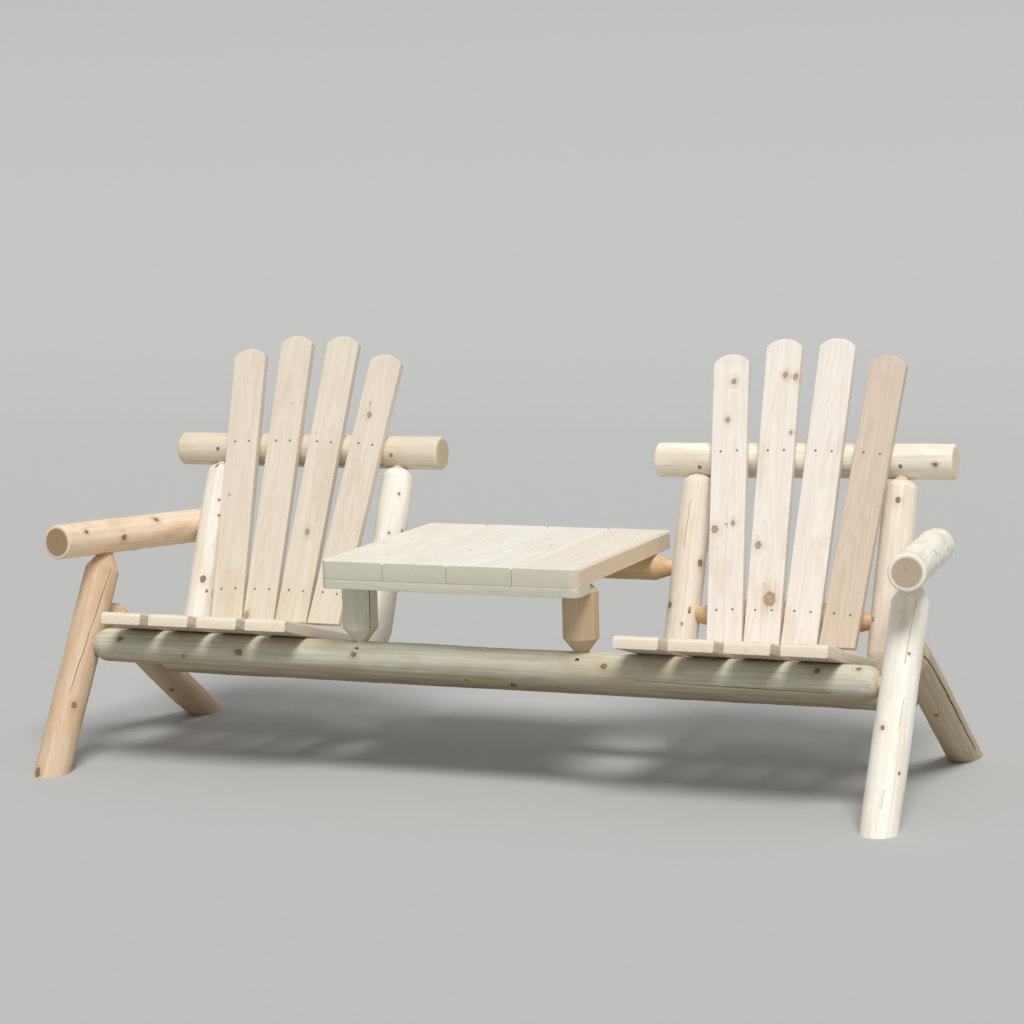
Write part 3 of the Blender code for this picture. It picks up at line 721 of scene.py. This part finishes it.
def make_nails(name, spots, surface):
    """Round nail heads driven flush. A spot is a point on the wood and the way out of it."""
    rng = np.random.default_rng(len(spots))
    verts = []
    faces = []
    for point, out in spots:
        profile = head_profile(NAIL_R * (0.94 + 0.12 * rng.random()), 0.0012, 0.0003)
        local = turned_verts(profile)
        turn = np.array(Vector(-out).to_track_quat("Z", "Y").to_matrix())
        faces += turned_faces(len(profile), sum(len(v) for v in verts))
        verts.append(local @ turn.T + point + NAIL_PROUD * out)
    piece = add_piece(name, np.concatenate(verts), faces, Matrix.Identity(4), surface)
    place(piece, "steel")


def board_point(board, across, along):
    """A point on a board's best face, in world space, and the way out of that face."""
    m = np.array(board.matrix)
    local = np.array((across, 0.5 * board.thick, along, 1.0))
    return (m @ local)[:3], m[:3, 1]


# --- wood ---
# stretch along the grain, scale, detail and roughness of each noise in the wood
NOISES = {
    "broad": (0.22, 22.0, 2.0, 0.5),
    "fibre": (0.035, 900.0, 3.0, 0.6),
    "streak": (0.03, 130.0, 3.0, 0.55),
    "blotch": (0.4, 16.0, 3.0, 0.55),
    "speck": (1.0, 420.0, 2.0, 0.7),
}
RING_WIDTH = 0.0023
RING_WARP = 0.010
RING_PUSH = 0.0035
RING_RISE = 0.013
# painted shade: the colour that darkens undersides
UNDERSIDE_SHADE = (0.34, 0.27, 0.15)
# near-black painted shade inside open cracks and end-grain checks
CRACK_SHADE = (0.045, 0.024, 0.011)
CHECK_SHADE = (0.09, 0.05, 0.025)


class Graph:
    """Short calls for building a material's nodes."""

    def __init__(self, name):
        self.material = bpy.data.materials.new(name)
        self.material.use_nodes = True
        self.tree = self.material.node_tree
        self.shader = self.tree.nodes["Principled BSDF"]

    def node(self, kind, **settings):
        made = self.tree.nodes.new(kind)
        for key, value in settings.items():
            setattr(made, key, value)
        return made

    def feed(self, socket, value):
        if isinstance(value, bpy.types.NodeSocket):
            self.tree.links.new(value, socket)
        elif isinstance(value, tuple) and len(value) == 3 and socket.type == "RGBA":
            socket.default_value = (*value, 1.0)
        else:
            socket.default_value = value

    def math(self, operation, a, b=0.0):
        made = self.node("ShaderNodeMath", operation=operation)
        self.feed(made.inputs[0], a)
        self.feed(made.inputs[1], b)
        return made.outputs[0]

    def times(self, a, b):
        return self.math("MULTIPLY", a, b)

    def plus(self, a, b):
        return self.math("ADD", a, b)

    def minus(self, a, b):
        return self.math("SUBTRACT", a, b)

    def abs(self, value):
        return self.math("ABSOLUTE", value)

    def vector(self, operation, a, b=(0.0, 0.0, 0.0)):
        made = self.node("ShaderNodeVectorMath", operation=operation)
        self.feed(made.inputs[0], a)
        self.feed(made.inputs[1], b)
        return made.outputs["Value" if operation == "LENGTH" else "Vector"]

    def noise(self, coords, scale, detail, roughness):
        made = self.node("ShaderNodeTexNoise")
        self.feed(made.inputs["Vector"], coords)
        made.inputs["Scale"].default_value = scale
        made.inputs["Detail"].default_value = detail
        made.inputs["Roughness"].default_value = roughness
        return made.outputs["Fac"]

    def between(self, value, low, high, out_low=0.0, out_high=1.0):
        made = self.node("ShaderNodeMapRange", interpolation_type="SMOOTHSTEP")
        for socket, item in zip(made.inputs, (value, low, high, out_low, out_high)):
            self.feed(socket, item)
        return made.outputs[0]

    def mix(self, share, a, b):
        made = self.node("ShaderNodeMix", data_type="RGBA")
        self.feed(made.inputs[0], share)
        self.feed(made.inputs[6], a)
        self.feed(made.inputs[7], b)
        return made.outputs[2]

    def into_frame(self, value, origin, rotation):
        """A place or direction as seen from a frame with this origin and rotation."""
        made = self.node("ShaderNodeMapping", vector_type="TEXTURE")
        self.feed(made.inputs["Vector"], value)
        made.inputs["Location"].default_value = origin
        made.inputs["Rotation"].default_value = rotation
        return made.outputs["Vector"]

    def split(self, value):
        made = self.node("ShaderNodeSeparateXYZ")
        self.feed(made.inputs[0], value)
        return made.outputs

    def attribute(self, name):
        return self.split(self.node("ShaderNodeAttribute", attribute_name=name).outputs["Vector"])


def wood(name, look):
    """Cedar: growth rings about the pith, fibres along Z, stains, knots, cracks and end grain, with painted
    shade in cracks and checks, and on an underside and a side where the look asks for it.
    """
    g = Graph(name)
    texture = g.node("ShaderNodeTexCoord")
    seed = float(look["seed"])
    coords, normal = texture.outputs["Object"], texture.outputs["Normal"]
    if "frame" in look:
        rotation = look["frame"].to_euler()
        coords = g.into_frame(coords, look["frame"].to_translation(), rotation)
        normal = g.into_frame(normal, (0.0, 0.0, 0.0), rotation)
    shifted = g.vector("ADD", coords, (0.37 * seed, 0.61 * seed, 0.23 * seed))
    noise = {}
    for kind, (stretch, *settings) in NOISES.items():
        noise[kind] = g.noise(g.vector("MULTIPLY", shifted, (1.0, 1.0, stretch)), *settings)
    fibre, streak, speck = noise["fibre"], noise["streak"], noise["speck"]
    knot = g.attribute("knot")
    crack = g.attribute("crack")
    knot_reach = g.math("SQRT", g.plus(g.math("POWER", knot[0], 2.0), g.math("POWER", knot[1], 2.0)))
    reach = g.math("DIVIDE", knot_reach, knot[2])
    near_knot = g.between(reach, 3.2, 0.9)
    late = late_wood(g, look, coords, noise["broad"], near_knot)

    facing = g.split(normal)
    end = g.between(g.abs(facing["Z"]), 0.62, 0.86)
    slope = g.between(g.abs(facing["Z"]), 0.12, 0.42)

    ring_share = g.times(late, g.between(slope, 0.0, 1.0, look["side_rings"], 0.34))
    colour = g.mix(ring_share, look["light"], look["dark"])
    # each noise tints the wood as it runs from one level to another, up to a share
    for value, low, high, share, tint in (
            (streak, 0.48, 0.68, look["streaks"], "dark"),
            (streak, 0.47, 0.32, 0.5, "pale"),
            (noise["blotch"], 0.50, 0.66, look["blotches"], "stain"),
            (fibre, 0.46, 0.70, 0.30, "dark"),
            (fibre, 0.44, 0.28, 0.20, "pale")):
        colour = g.mix(g.between(value, low, high, 0.0, share), colour, look[tint])
    # painted shade: the side whose normal runs down (by the sign of Y) goes darker in a ragged band,
    # standing in for the shade under the piece
    if "under" in look:
        share, sign = look["under"]
        underside_shade_share = g.plus(g.times(facing["Y"], sign), g.times(g.minus(streak, 0.5), 1.2))
        colour = g.mix(g.between(underside_shade_share, -0.1, 1.0, 0.0, share), colour, UNDERSIDE_SHADE)
    # painted shade and warm bounce light: the side facing local -X goes darker and warmer
    if "flank" in look:
        flank = g.between(g.times(facing["X"], -1.0), 0.15, 0.98, 0.0, 0.65)
        colour = g.mix(flank, colour, look["flank"])
    colour = g.mix(g.times(end, look["end_share"]), colour, end_colour(g, look, late, speck, coords))
    colour = knot_colour(g, look, colour, reach, near_knot, streak)
    # an open crack is painted near-black, painted shade in its depth; the band beside it takes a little of
    # the stain colour
    gap = g.minus(g.abs(crack[0]), crack[1])
    open_crack = g.between(gap, 0.0003, -0.00015)
    beside = g.between(gap, 0.0035, 0.0)
    colour = g.mix(g.times(beside, 0.18), colour, look["stain"])
    g.feed(g.shader.inputs["Base Color"], g.mix(open_crack, colour, CRACK_SHADE))

    rough = g.plus(g.times(fibre, 0.22), g.between(late, 0.0, 1.0, 0.50, 0.42))
    g.feed(g.shader.inputs["Roughness"], g.plus(rough, g.times(end, 0.15)))
    g.shader.inputs["Specular IOR Level"].default_value = 0.35

    height = g.plus(g.plus(g.times(fibre, 0.5), g.times(late, 0.35)), g.times(streak, 0.6))
    height = g.minus(height, g.times(open_crack, 2.5))
    height = g.plus(height, g.times(g.times(end, speck), 0.8))
    bump = g.node("ShaderNodeBump")
    bump.inputs["Strength"].default_value = look["bump"]
    bump.inputs["Distance"].default_value = 0.0006
    g.feed(bump.inputs["Height"], height)
    g.feed(g.shader.inputs["Normal"], bump.outputs[0])
    return g.material


def late_wood(g, look, coords, broad, near_knot):
    """The dark part of each growth ring, round a pith that wanders and bends about the knots."""
    across = g.vector("MULTIPLY", g.vector("SUBTRACT", coords, (*look["pith"], 0.0)), (1.0, 1.0, 0.0))
    radius = g.plus(g.vector("LENGTH", across), g.times(g.minus(broad, 0.5), RING_WARP))
    radius = g.plus(radius, g.times(near_knot, RING_PUSH))
    radius = g.plus(radius, g.times(g.split(coords)["Z"], RING_RISE))
    phase = g.math("FRACT", g.math("DIVIDE", radius, RING_WIDTH))
    return g.times(g.between(phase, 0.25, 0.86), g.between(phase, 1.0, 0.9))


def end_colour(g, look, late, speck, coords):
    """Sawn end grain: every ring plain to see, a heart check and a pale rim."""
    base = g.mix(g.times(late, 0.75), look["end_light"], look["end_dark"])
    base = g.mix(g.between(speck, 0.48, 0.68, 0.0, 0.4), base, look["end_dark"])
    # the heart check is painted near-black: painted shade in the split
    x, y, _ = g.split(g.vector("SUBTRACT", coords, (*look["pith"], 0.0)))
    turn = 1.7 * look["seed"]
    ahead = g.plus(g.times(x, math.cos(turn)), g.times(y, math.sin(turn)))
    beside = g.minus(g.times(x, math.sin(turn)), g.times(y, math.cos(turn)))
    bend = g.times(g.minus(speck, 0.5), 0.0012)
    width = g.between(ahead, 0.024, 0.0, 0.0, 0.0006)
    check = g.minus(g.abs(g.plus(beside, bend)), width)
    share = g.times(g.between(check, 0.0002, 0.0), g.between(ahead, -0.001, 0.001))
    base = g.mix(g.times(share, 0.85), base, CHECK_SHADE)
    away = g.vector("LENGTH", g.vector("MULTIPLY", coords, (1.0, 1.0, 0.0)))
    return g.mix(g.between(away, *look["rim_at"], 0.0, look["pale_rim"]), base, look["light"])


def knot_colour(g, look, colour, reach, near_knot, streak):
    """A halo of turned grain, a dark rim and a heart with its own small rings."""
    texture = g.node("ShaderNodeTexCoord")
    uneven = g.noise(texture.outputs["Object"], 230.0, 3.0, 0.6)
    wavy = g.times(g.plus(reach, g.times(g.minus(uneven, 0.5), 1.1)), 1.15)
    halo = g.times(near_knot, g.between(streak, 0.35, 0.62, 0.25, 0.75))
    colour = g.mix(halo, colour, look["stain"])
    rings = g.math("FRACT", g.times(wavy, 2.6))
    heart = g.mix(g.between(rings, 0.15, 0.95), look["knot"], look["knot_rim"])
    heart = g.mix(g.between(uneven, 0.45, 0.62, 0.0, 0.3), heart, look["stain"])
    colour = g.mix(g.between(wavy, 1.15, 0.80, 0.0, 0.92), colour, heart)
    edge = g.times(g.between(wavy, 0.70, 0.95), g.between(wavy, 1.25, 1.0))
    return g.mix(g.times(edge, 0.6), colour, look["knot_rim"])


def steel(name, colour, roughness):
    g = Graph(name)
    tarnish = g.noise(g.node("ShaderNodeTexCoord").outputs["Object"], 900.0, 3.0, 0.6)
    dull = tuple(0.45 * c for c in colour)
    g.feed(g.shader.inputs["Base Color"], g.mix(g.between(tarnish, 0.4, 0.7), colour, dull))
    g.feed(g.shader.inputs["Roughness"], g.between(tarnish, 0.3, 0.7, roughness, roughness + 0.25))
    g.shader.inputs["Metallic"].default_value = 0.9
    return g.material


# --- tints ---
# A look is a tint with what belongs to one piece: its seed, its knots as distance along, degrees
# round a log or distance across a board, and size, and its cracks. Under is the share of painted
# shade darkening the underside and which way Y is down, and the flank colour is painted shade and
# warm bounce light on the side towards -X.
CREAM = dict(
    light=(0.85, 0.79, 0.66), dark=(0.69, 0.57, 0.40), pale=(0.92, 0.88, 0.79),
    stain=(0.66, 0.50, 0.32), end_light=(0.68, 0.54, 0.37), end_dark=(0.45, 0.31, 0.18),
    knot=(0.24, 0.145, 0.085), knot_rim=(0.17, 0.10, 0.06), knots=(), cracks=(), pith=(0.003, -0.002),
    side_rings=0.18, streaks=0.45, blotches=0.35, bump=0.4, end_share=0.75, rim_at=(0.026, 0.036),
    pale_rim=0.45, fullness=0.0, knife=0.0, bow=(0.0, 0.0), slot="cream_log")
WHITE = dict(CREAM, light=(0.93, 0.89, 0.80), dark=(0.78, 0.69, 0.54), pale=(0.96, 0.94, 0.89),
             stain=(0.75, 0.62, 0.45))
BUFF = dict(CREAM, light=(0.87, 0.77, 0.65), dark=(0.72, 0.57, 0.42), pale=(0.93, 0.87, 0.78))
# SHADY is a darker, greener copy of the cream: painted shade and green bounce light for logs that sit under
# the seat and the table
SHADY = dict(CREAM, light=(0.71, 0.69, 0.54), dark=(0.53, 0.48, 0.34), pale=(0.79, 0.78, 0.69),
             stain=(0.50, 0.41, 0.26))
TAN = dict(CREAM, light=(0.80, 0.62, 0.44), dark=(0.62, 0.41, 0.23), pale=(0.88, 0.76, 0.60),
           stain=(0.58, 0.36, 0.19), end_light=(0.47, 0.33, 0.19), end_dark=(0.28, 0.17, 0.08))
ROSY = dict(TAN, light=(0.70, 0.53, 0.365), dark=(0.54, 0.35, 0.21), pale=(0.80, 0.66, 0.50))
# BROWN is a darker copy of the tan: painted shade for the rear legs under the bench
BROWN = dict(TAN, light=(0.66, 0.51, 0.35), dark=(0.48, 0.33, 0.20), pale=(0.74, 0.61, 0.46))
# ORANGE is a darker, warmer copy of the tan, first set for a log in shade under the table: painted shade
# and warm bounce light
ORANGE = dict(TAN, light=(0.70, 0.50, 0.28), dark=(0.53, 0.33, 0.15), pale=(0.80, 0.63, 0.42))
SLAT = dict(CREAM, light=(0.79, 0.71, 0.59), dark=(0.70, 0.59, 0.45), pale=(0.84, 0.77, 0.67),
            stain=(0.67, 0.53, 0.38), knot=(0.47, 0.34, 0.24), knot_rim=(0.31, 0.20, 0.13), pale_rim=0.0)
FAIR = dict(SLAT, light=(0.90, 0.83, 0.765), dark=(0.76, 0.68, 0.56), pale=(0.90, 0.86, 0.79))
PINK = dict(SLAT, light=(0.70, 0.585, 0.47), dark=(0.60, 0.46, 0.34), pale=(0.77, 0.67, 0.56))
# under: painted shade darkening the seat boards' undersides
SEAT = dict(SLAT, light=(0.83, 0.75, 0.63), dark=(0.66, 0.51, 0.34), end_light=(0.94, 0.85, 0.69),
            end_dark=(0.73, 0.61, 0.44), under=(0.7, -1.0), parallel=True, ease=0.0045, nose=0.010,
            pith=(0.01, -0.045), side_rings=0.45, streaks=0.6)
TABLE = dict(CREAM, light=(0.87, 0.84, 0.765), dark=(0.76, 0.68, 0.55), pale=(0.92, 0.90, 0.85),
             stain=(0.77, 0.68, 0.53), end_light=(0.68, 0.66, 0.54), end_dark=(0.52, 0.49, 0.37),
             pale_rim=0.0, parallel=True, chamfered=True, ease=0.0045, ease_below=0.0006, nose=0.0025,
             end_ease=0.0008, shy=0.0007, side_rings=0.4)
CLEAT = dict(TABLE, light=TABLE["end_light"], dark=TABLE["end_dark"], pale=(0.76, 0.74, 0.63),
             ease=0.0008, pith=(0.03, -0.02), side_rings=0.3)


# --- the bench ---
LOOKS = {
    # front rail: its tint is darker than SHADY and its underside darker still: painted shade from the seat
    # boards above
    "front_rail": dict(
        SHADY, seed=11, bow=(0.0015, 0.001), blotches=0.5, fullness=0.8, under=(0.85, 1.0),
        light=(0.62, 0.60, 0.48), dark=(0.45, 0.41, 0.28), pale=(0.70, 0.69, 0.60), streaks=0.6,
        knots=((0.118, -33, 0.006), (0.418, -9, 0.008), (0.280, 15, 0.004), (0.694, -22, 0.006),
               (1.265, -25, 0.006), (1.718, -45, 0.006), (1.802, -62, 0.005), (0.95, 60, 0.007)),
        cracks=((1.33, 1.75, (13, 26), 0.0005, 0.010, 0.4),)),
    # rear rail: underside darker: painted shade under the seat
    "rear_rail": dict(
        SHADY, seed=12, fullness=0.8, under=(0.8, 1.0),
        knots=((0.5, 140, 0.007), (1.2, 200, 0.006), (0.94, 30, 0.007)),
        cracks=((0.6, 1.1, (170, 178), 0.0008, 0.010, 1.4),)),
    "front_leg_left": dict(
        ROSY, seed=13, slot="tan_log", knots=((0.152, 49, 0.0065), (0.01, -20, 0.009), (0.33, -75, 0.006)),
        cracks=((0.17, 0.49, (24, 64), 0.0003, 0.010, 0.8),)),
    "rear_leg_left": dict(BROWN, seed=14, bow=(0.003, 0.002), knots=((0.2, 20, 0.006), (0.38, 150, 0.006))),
    "armrest_left": dict(
        TAN, seed=15, slot="tan_log", light=(0.91, 0.74, 0.56), dark=(0.68, 0.46, 0.28),
        pale=(0.95, 0.83, 0.69), end_light=(0.46, 0.31, 0.175), end_dark=(0.17, 0.095, 0.04),
        end_share=0.95, pale_rim=0.85, rim_at=(0.0295, 0.0325),
        knots=((0.313, 44, 0.006), (0.061, 58, 0.005), (0.184, 91, 0.0065), (0.42, -20, 0.006),
               (0.25, 170, 0.006))),
    "back_post_left_outer": dict(
        WHITE, fullness=0.6, seed=16,
        knots=((0.460, -1, 0.005), (0.185, 20, 0.007), (0.377, 31, 0.003), (0.341, 40, 0.003),
               (0.3, 170, 0.006))),
    "back_post_left_inner": dict(
        WHITE, fullness=0.6, seed=17,
        knots=((0.404, 38, 0.003), (0.322, 73, 0.003), (0.310, 23, 0.003), (0.2, 190, 0.007))),
    "top_rail_left": dict(
        CREAM, seed=18, blotches=0.85, light=(0.77, 0.68, 0.55), pale=(0.86, 0.79, 0.68),
        knots=((0.12, -120, 0.006), (0.55, 150, 0.007)),
        cracks=((0.02, 0.66, (40, 42), 0.0005, 0.008, 2.1),)),
    "lower_back_rail_left": dict(ORANGE, seed=19, knots=((0.2, 160, 0.006),)),
    "front_leg_right": dict(
        WHITE, seed=20, streaks=0.55,
        knots=((0.361, 32, 0.003), (0.203, -15, 0.0045), (0.12, 52, 0.003), (0.30, 150, 0.006)),
        cracks=((0.42, 0.48, (27, 30), 0.00018, 0.004, 0.3), (0.20, 0.27, (34, 37), 0.00016, 0.004, 1.1),
                (0.34, 0.42, (22, 28), 0.00025, 0.005, 3.2), (0.05, 0.09, (12, 14), 0.00018, 0.004, 2.3))),
    # rear right leg: tinted darker still than BROWN: painted shade under the bench
    "rear_leg_right": dict(
        BROWN, seed=21, bow=(0.001, 0.001), knots=((0.3, 10, 0.006),), light=(0.54, 0.45, 0.30),
        dark=(0.36, 0.27, 0.16), pale=(0.66, 0.58, 0.43),
        cracks=((0.04, 0.54, (82, 73), 0.0019, 0.016, 0.9),)),
    "armrest_right": dict(
        CREAM, seed=22, blotches=0.3, bump=0.7, light=(0.95, 0.92, 0.81), dark=(0.76, 0.66, 0.50),
        pale=(0.96, 0.95, 0.89), end_light=(0.60, 0.46, 0.33), end_dark=(0.24, 0.155, 0.09),
        end_share=0.85, pale_rim=0.9, rim_at=(0.0280, 0.0325),
        knots=((0.22, 60, 0.004), (0.40, -30, 0.006), (0.3, 150, 0.006))),
    "back_post_right_outer": dict(
        BUFF, fullness=0.6, seed=23, knots=((0.417, 9, 0.006), (0.291, 54, 0.005), (0.15, 180, 0.007))),
    "back_post_right_inner": dict(
        BUFF, fullness=0.6, seed=24,
        knots=((0.269, 58, 0.007), (0.171, -38, 0.006), (0.166, 40, 0.0025), (0.129, 19, 0.0025)),
        cracks=((0.29, 0.41, (-4, -2), 0.0002, 0.004, 0.7),)),
    "top_rail_right": dict(
        CREAM, seed=25, knots=((0.632, 3, 0.0045), (0.4, 170, 0.007)), light=(0.92, 0.87, 0.75),
        pale=(0.95, 0.92, 0.84), end_light=(0.86, 0.74, 0.53), end_dark=(0.64, 0.50, 0.32)),
    "lower_back_rail_right": dict(ORANGE, seed=26, knots=((0.25, 190, 0.006),)),
    "table_post_left": dict(
        SHADY, seed=27, knife=0.0012, cracks=((0.06, 0.185, (57, 64), 0.0009, 0.010, 0.5),)),
    # right table post: tinted darker: painted shade under the table top
    "table_post_right": dict(
        ROSY, seed=28, streaks=0.35, light=(0.60, 0.45, 0.28), dark=(0.43, 0.30, 0.17),
        pale=(0.67, 0.53, 0.36)),
    "table_cross_rail": dict(ORANGE, seed=29, streaks=0.6, knots=((0.40, -60, 0.005),)),
}


def build_log(node):
    """One log, with the lag screw's counterbore where it is an armrest."""
    log = Log(node, X_AXIS if "rail" in node else Y_AXIS if "armrest" in node else Z_AXIS)
    look = LOOKS[node]
    if "_leg_" in node:
        look["frame"] = log.matrix.copy()
    piece = make_log(log, look, wood(node + "_wood", look), look["slot"])
    for side, inward in zip(SIDES, (X_AXIS, -X_AXIS)):
        if node == "armrest_" + side:
            bore_arm(piece, Log("arm_post_lag_screw_" + side, inward))
    return log


# distance from the foot, distance across and size of each slat's knots
SLAT_KNOTS = {
    "slat_left_1": ((0.30, 0.02, 0.0025),),
    "slat_left_2": ((0.013, 0.031, 0.008), (0.52, -0.01, 0.002)),
    "slat_left_3": ((0.2143, -0.001, 0.0065), (0.45, 0.025, 0.002)),
    "slat_left_4": ((0.4997, 0.008, 0.0065), (0.528, 0.013, 0.002)),
    "slat_right_1": ((0.267, -0.014, 0.005), (0.255, 0.027, 0.008), (0.5875, -0.008, 0.006),
                     (0.501, 0.004, 0.005)),
    "slat_right_2": ((0.218, 0.023, 0.0075), (0.099, -0.012, 0.014), (0.600, -0.008, 0.006),
                     (0.595, -0.031, 0.006), (0.469, -0.031, 0.004), (0.132, 0.004, 0.0022)),
}
# distances of the nails from a slat's foot, and from its middle line
SLAT_NAIL_ROWS = (0.0755, 0.430)
SLAT_NAIL_SIDE = 0.018
SEAT_NAIL_SIDE = 0.030


def build_slats(surface):
    for side in SIDES:
        spots = []
        for number in range(1, 5):
            node = f"slat_{side}_{number}"
            board = Board(node, -Y_AXIS, Z_AXIS)
            tint = SLAT if side == "left" else PINK if number == 4 else FAIR
            look = dict(tint, seed=40 + 7 * number + (side == "right"), ease=0.0016, side_rings=0.4,
                        pith=(0.012 * (-1) ** number, -0.05 - 0.01 * number), streaks=0.35,
                        knots=SLAT_KNOTS.get(node, ()))
            make_board(board, look, wood(node + "_wood", look), "slat")
            for along in SLAT_NAIL_ROWS:
                spots += [board_point(board, across, along) for across in (-SLAT_NAIL_SIDE, SLAT_NAIL_SIDE)]
        make_nails("slat_nails_" + side, spots, surface)


def build_seats(surface, rails):
    for side in SIDES:
        spots = []
        for number in range(1, 5):
            node = f"seat_board_{side}_{number}"
            board = Board(node, Z_AXIS, Y_AXIS)
            look = dict(SEAT, seed=70 + 5 * number + (side == "right"),
                        knots=((0.12 + 0.05 * number, 0.02, 0.005),))
            make_board(board, look, wood(node + "_wood", look), "board")
            own = np.array(board.matrix)
            for rail in rails:
                along = (rail.start - own[:3, 3]) @ own[:3, 2]
                inward = board.steps()[0] * 0.5 if board.steps() and along > 0.3 else 0.0
                reach = SEAT_NAIL_SIDE - 2.0 * abs(inward)
                spots += [board_point(board, inward + across, along) for across in (-reach, reach)]
        make_nails("seat_nails_" + side, spots, surface)


def build_table(posts):
    for number in range(1, 5):
        node = f"table_board_{number}"
        look = dict(TABLE, seed=90 + number, pith=(0.02, -0.055 - 0.008 * number),
                    knots=((0.10 * number, -0.04, 0.003),))
        # board 4 is a warmer tone; its flank colour, on its side towards +X, is painted shade and warm
        # bounce light on the table's right side
        if number == 4:
            look.update(light=(0.84, 0.78, 0.67), end_light=(0.74, 0.68, 0.54), flank=(0.68, 0.52, 0.36))
        make_board(Board(node, Z_AXIS, Y_AXIS), look, wood(node + "_wood", look), "board")
    look = dict(CLEAT, seed=97)
    make_cleat(look, wood("table_cleat_wood", look), posts)


def build_screws(surface, black):
    for side, out in (("left", -X_AXIS), ("right", X_AXIS)):
        for place_name in ("outer", "inner"):
            make_screw("top_rail_screw_" + side + "_" + place_name, Y_AXIS, surface)
            make_screw("lower_rail_screw_" + side + "_" + place_name, Y_AXIS, surface)
        # the table post screws take the near-black steel: painted shade of their recessed holes
        make_screw("table_post_screw_" + side, Y_AXIS, black)
        make_screw("arm_leg_screw_" + side, -out, surface)
        make_screw("arm_post_lag_screw_" + side, -out, surface)


# --- stage ---
CAMERA_PLACE = Vector((2.452, -5.6225, 1.413))
CAMERA_YAW = math.radians(23.30)
CAMERA_PITCH = math.radians(-7.965)
CAMERA_ROLL = math.radians(-1.766)
CAMERA_LENS = 101.03
FLOOR_HALF_WIDTH = 24.0
FLOOR_FRONT = -20.0
FLOOR_BACK = 6.0
FLOOR_BEND = 5.0
FLOOR_TOP = 14.0
FLOOR_COLOUR = (0.47, 0.47, 0.465, 1.0)
SUN_WAY = Vector((-0.27, 0.42, -0.87))
SUN_STRENGTH = 2.5
SUN_SPREAD = math.radians(24.0)
SUN_COLOUR = (1.0, 0.995, 0.99)
SKY_COLOUR = (0.97, 0.985, 0.98, 1.0)
SKY_STRENGTH = 0.42


def camera():
    data = bpy.data.cameras.new("camera")
    data.lens = CAMERA_LENS
    data.sensor_width = 36.0
    made = add_object("camera", data)
    turn = Matrix.Rotation(CAMERA_YAW, 4, "Z") @ Matrix.Rotation(0.5 * math.pi + CAMERA_PITCH, 4, "X")
    made.matrix_world = Matrix.Translation(CAMERA_PLACE) @ turn @ Matrix.Rotation(CAMERA_ROLL, 4, "Z")
    bpy.context.scene.camera = made


def floor():
    """A pale floor that sweeps up behind the bench."""
    turns = quarter_turn(25)
    line = [(FLOOR_BACK + FLOOR_BEND * math.sin(a), FLOOR_BEND * (1.0 - math.cos(a))) for a in turns]
    line = [(FLOOR_FRONT, 0.0)] + line + [(FLOOR_BACK + FLOOR_BEND, FLOOR_TOP)]
    verts = [(x, y, z) for x in (-FLOOR_HALF_WIDTH, FLOOR_HALF_WIDTH) for y, z in line]
    count = len(line)
    faces = [(k, count + k, count + k + 1, k + 1) for k in range(count - 1)]
    mesh = bpy.data.meshes.new("floor")
    mesh.from_pydata(verts, [], faces)
    mesh.shade_smooth()
    made = add_object("floor", mesh)
    g = Graph("floor")
    g.shader.inputs["Base Color"].default_value = FLOOR_COLOUR
    g.shader.inputs["Roughness"].default_value = 0.9
    mesh.materials.append(g.material)


def lights():
    data = bpy.data.lights.new("sky", "SUN")
    data.energy = SUN_STRENGTH
    data.angle = SUN_SPREAD
    data.color = SUN_COLOUR
    made = add_object("sky", data)
    made.rotation_euler = SUN_WAY.to_track_quat("-Z", "Y").to_euler()
    world = bpy.data.worlds.new("studio")
    bpy.context.scene.world = world
    world.use_nodes = True
    world.node_tree.nodes["Background"].inputs["Color"].default_value = SKY_COLOUR
    world.node_tree.nodes["Background"].inputs["Strength"].default_value = SKY_STRENGTH


steel_surface = steel("zinc_steel", (0.36, 0.335, 0.30), 0.4)
# near-black steel for the table post screws: painted shade of their recessed holes
hole_shade_surface = steel("hole_shade_steel", (0.05, 0.045, 0.04), 0.6)
for node in LOOKS:
    if not node.startswith("table"):
        build_log(node)
build_slats(steel_surface)
build_seats(steel_surface, (Log("front_rail", X_AXIS), Log("rear_rail", X_AXIS)))
table_logs = [build_log(node) for node in LOOKS if node.startswith("table")]
build_table(table_logs[:2])
build_screws(steel_surface, hole_shade_surface)
camera()
floor()
lights()
bpy.context.scene.view_settings.view_transform = "Standard"
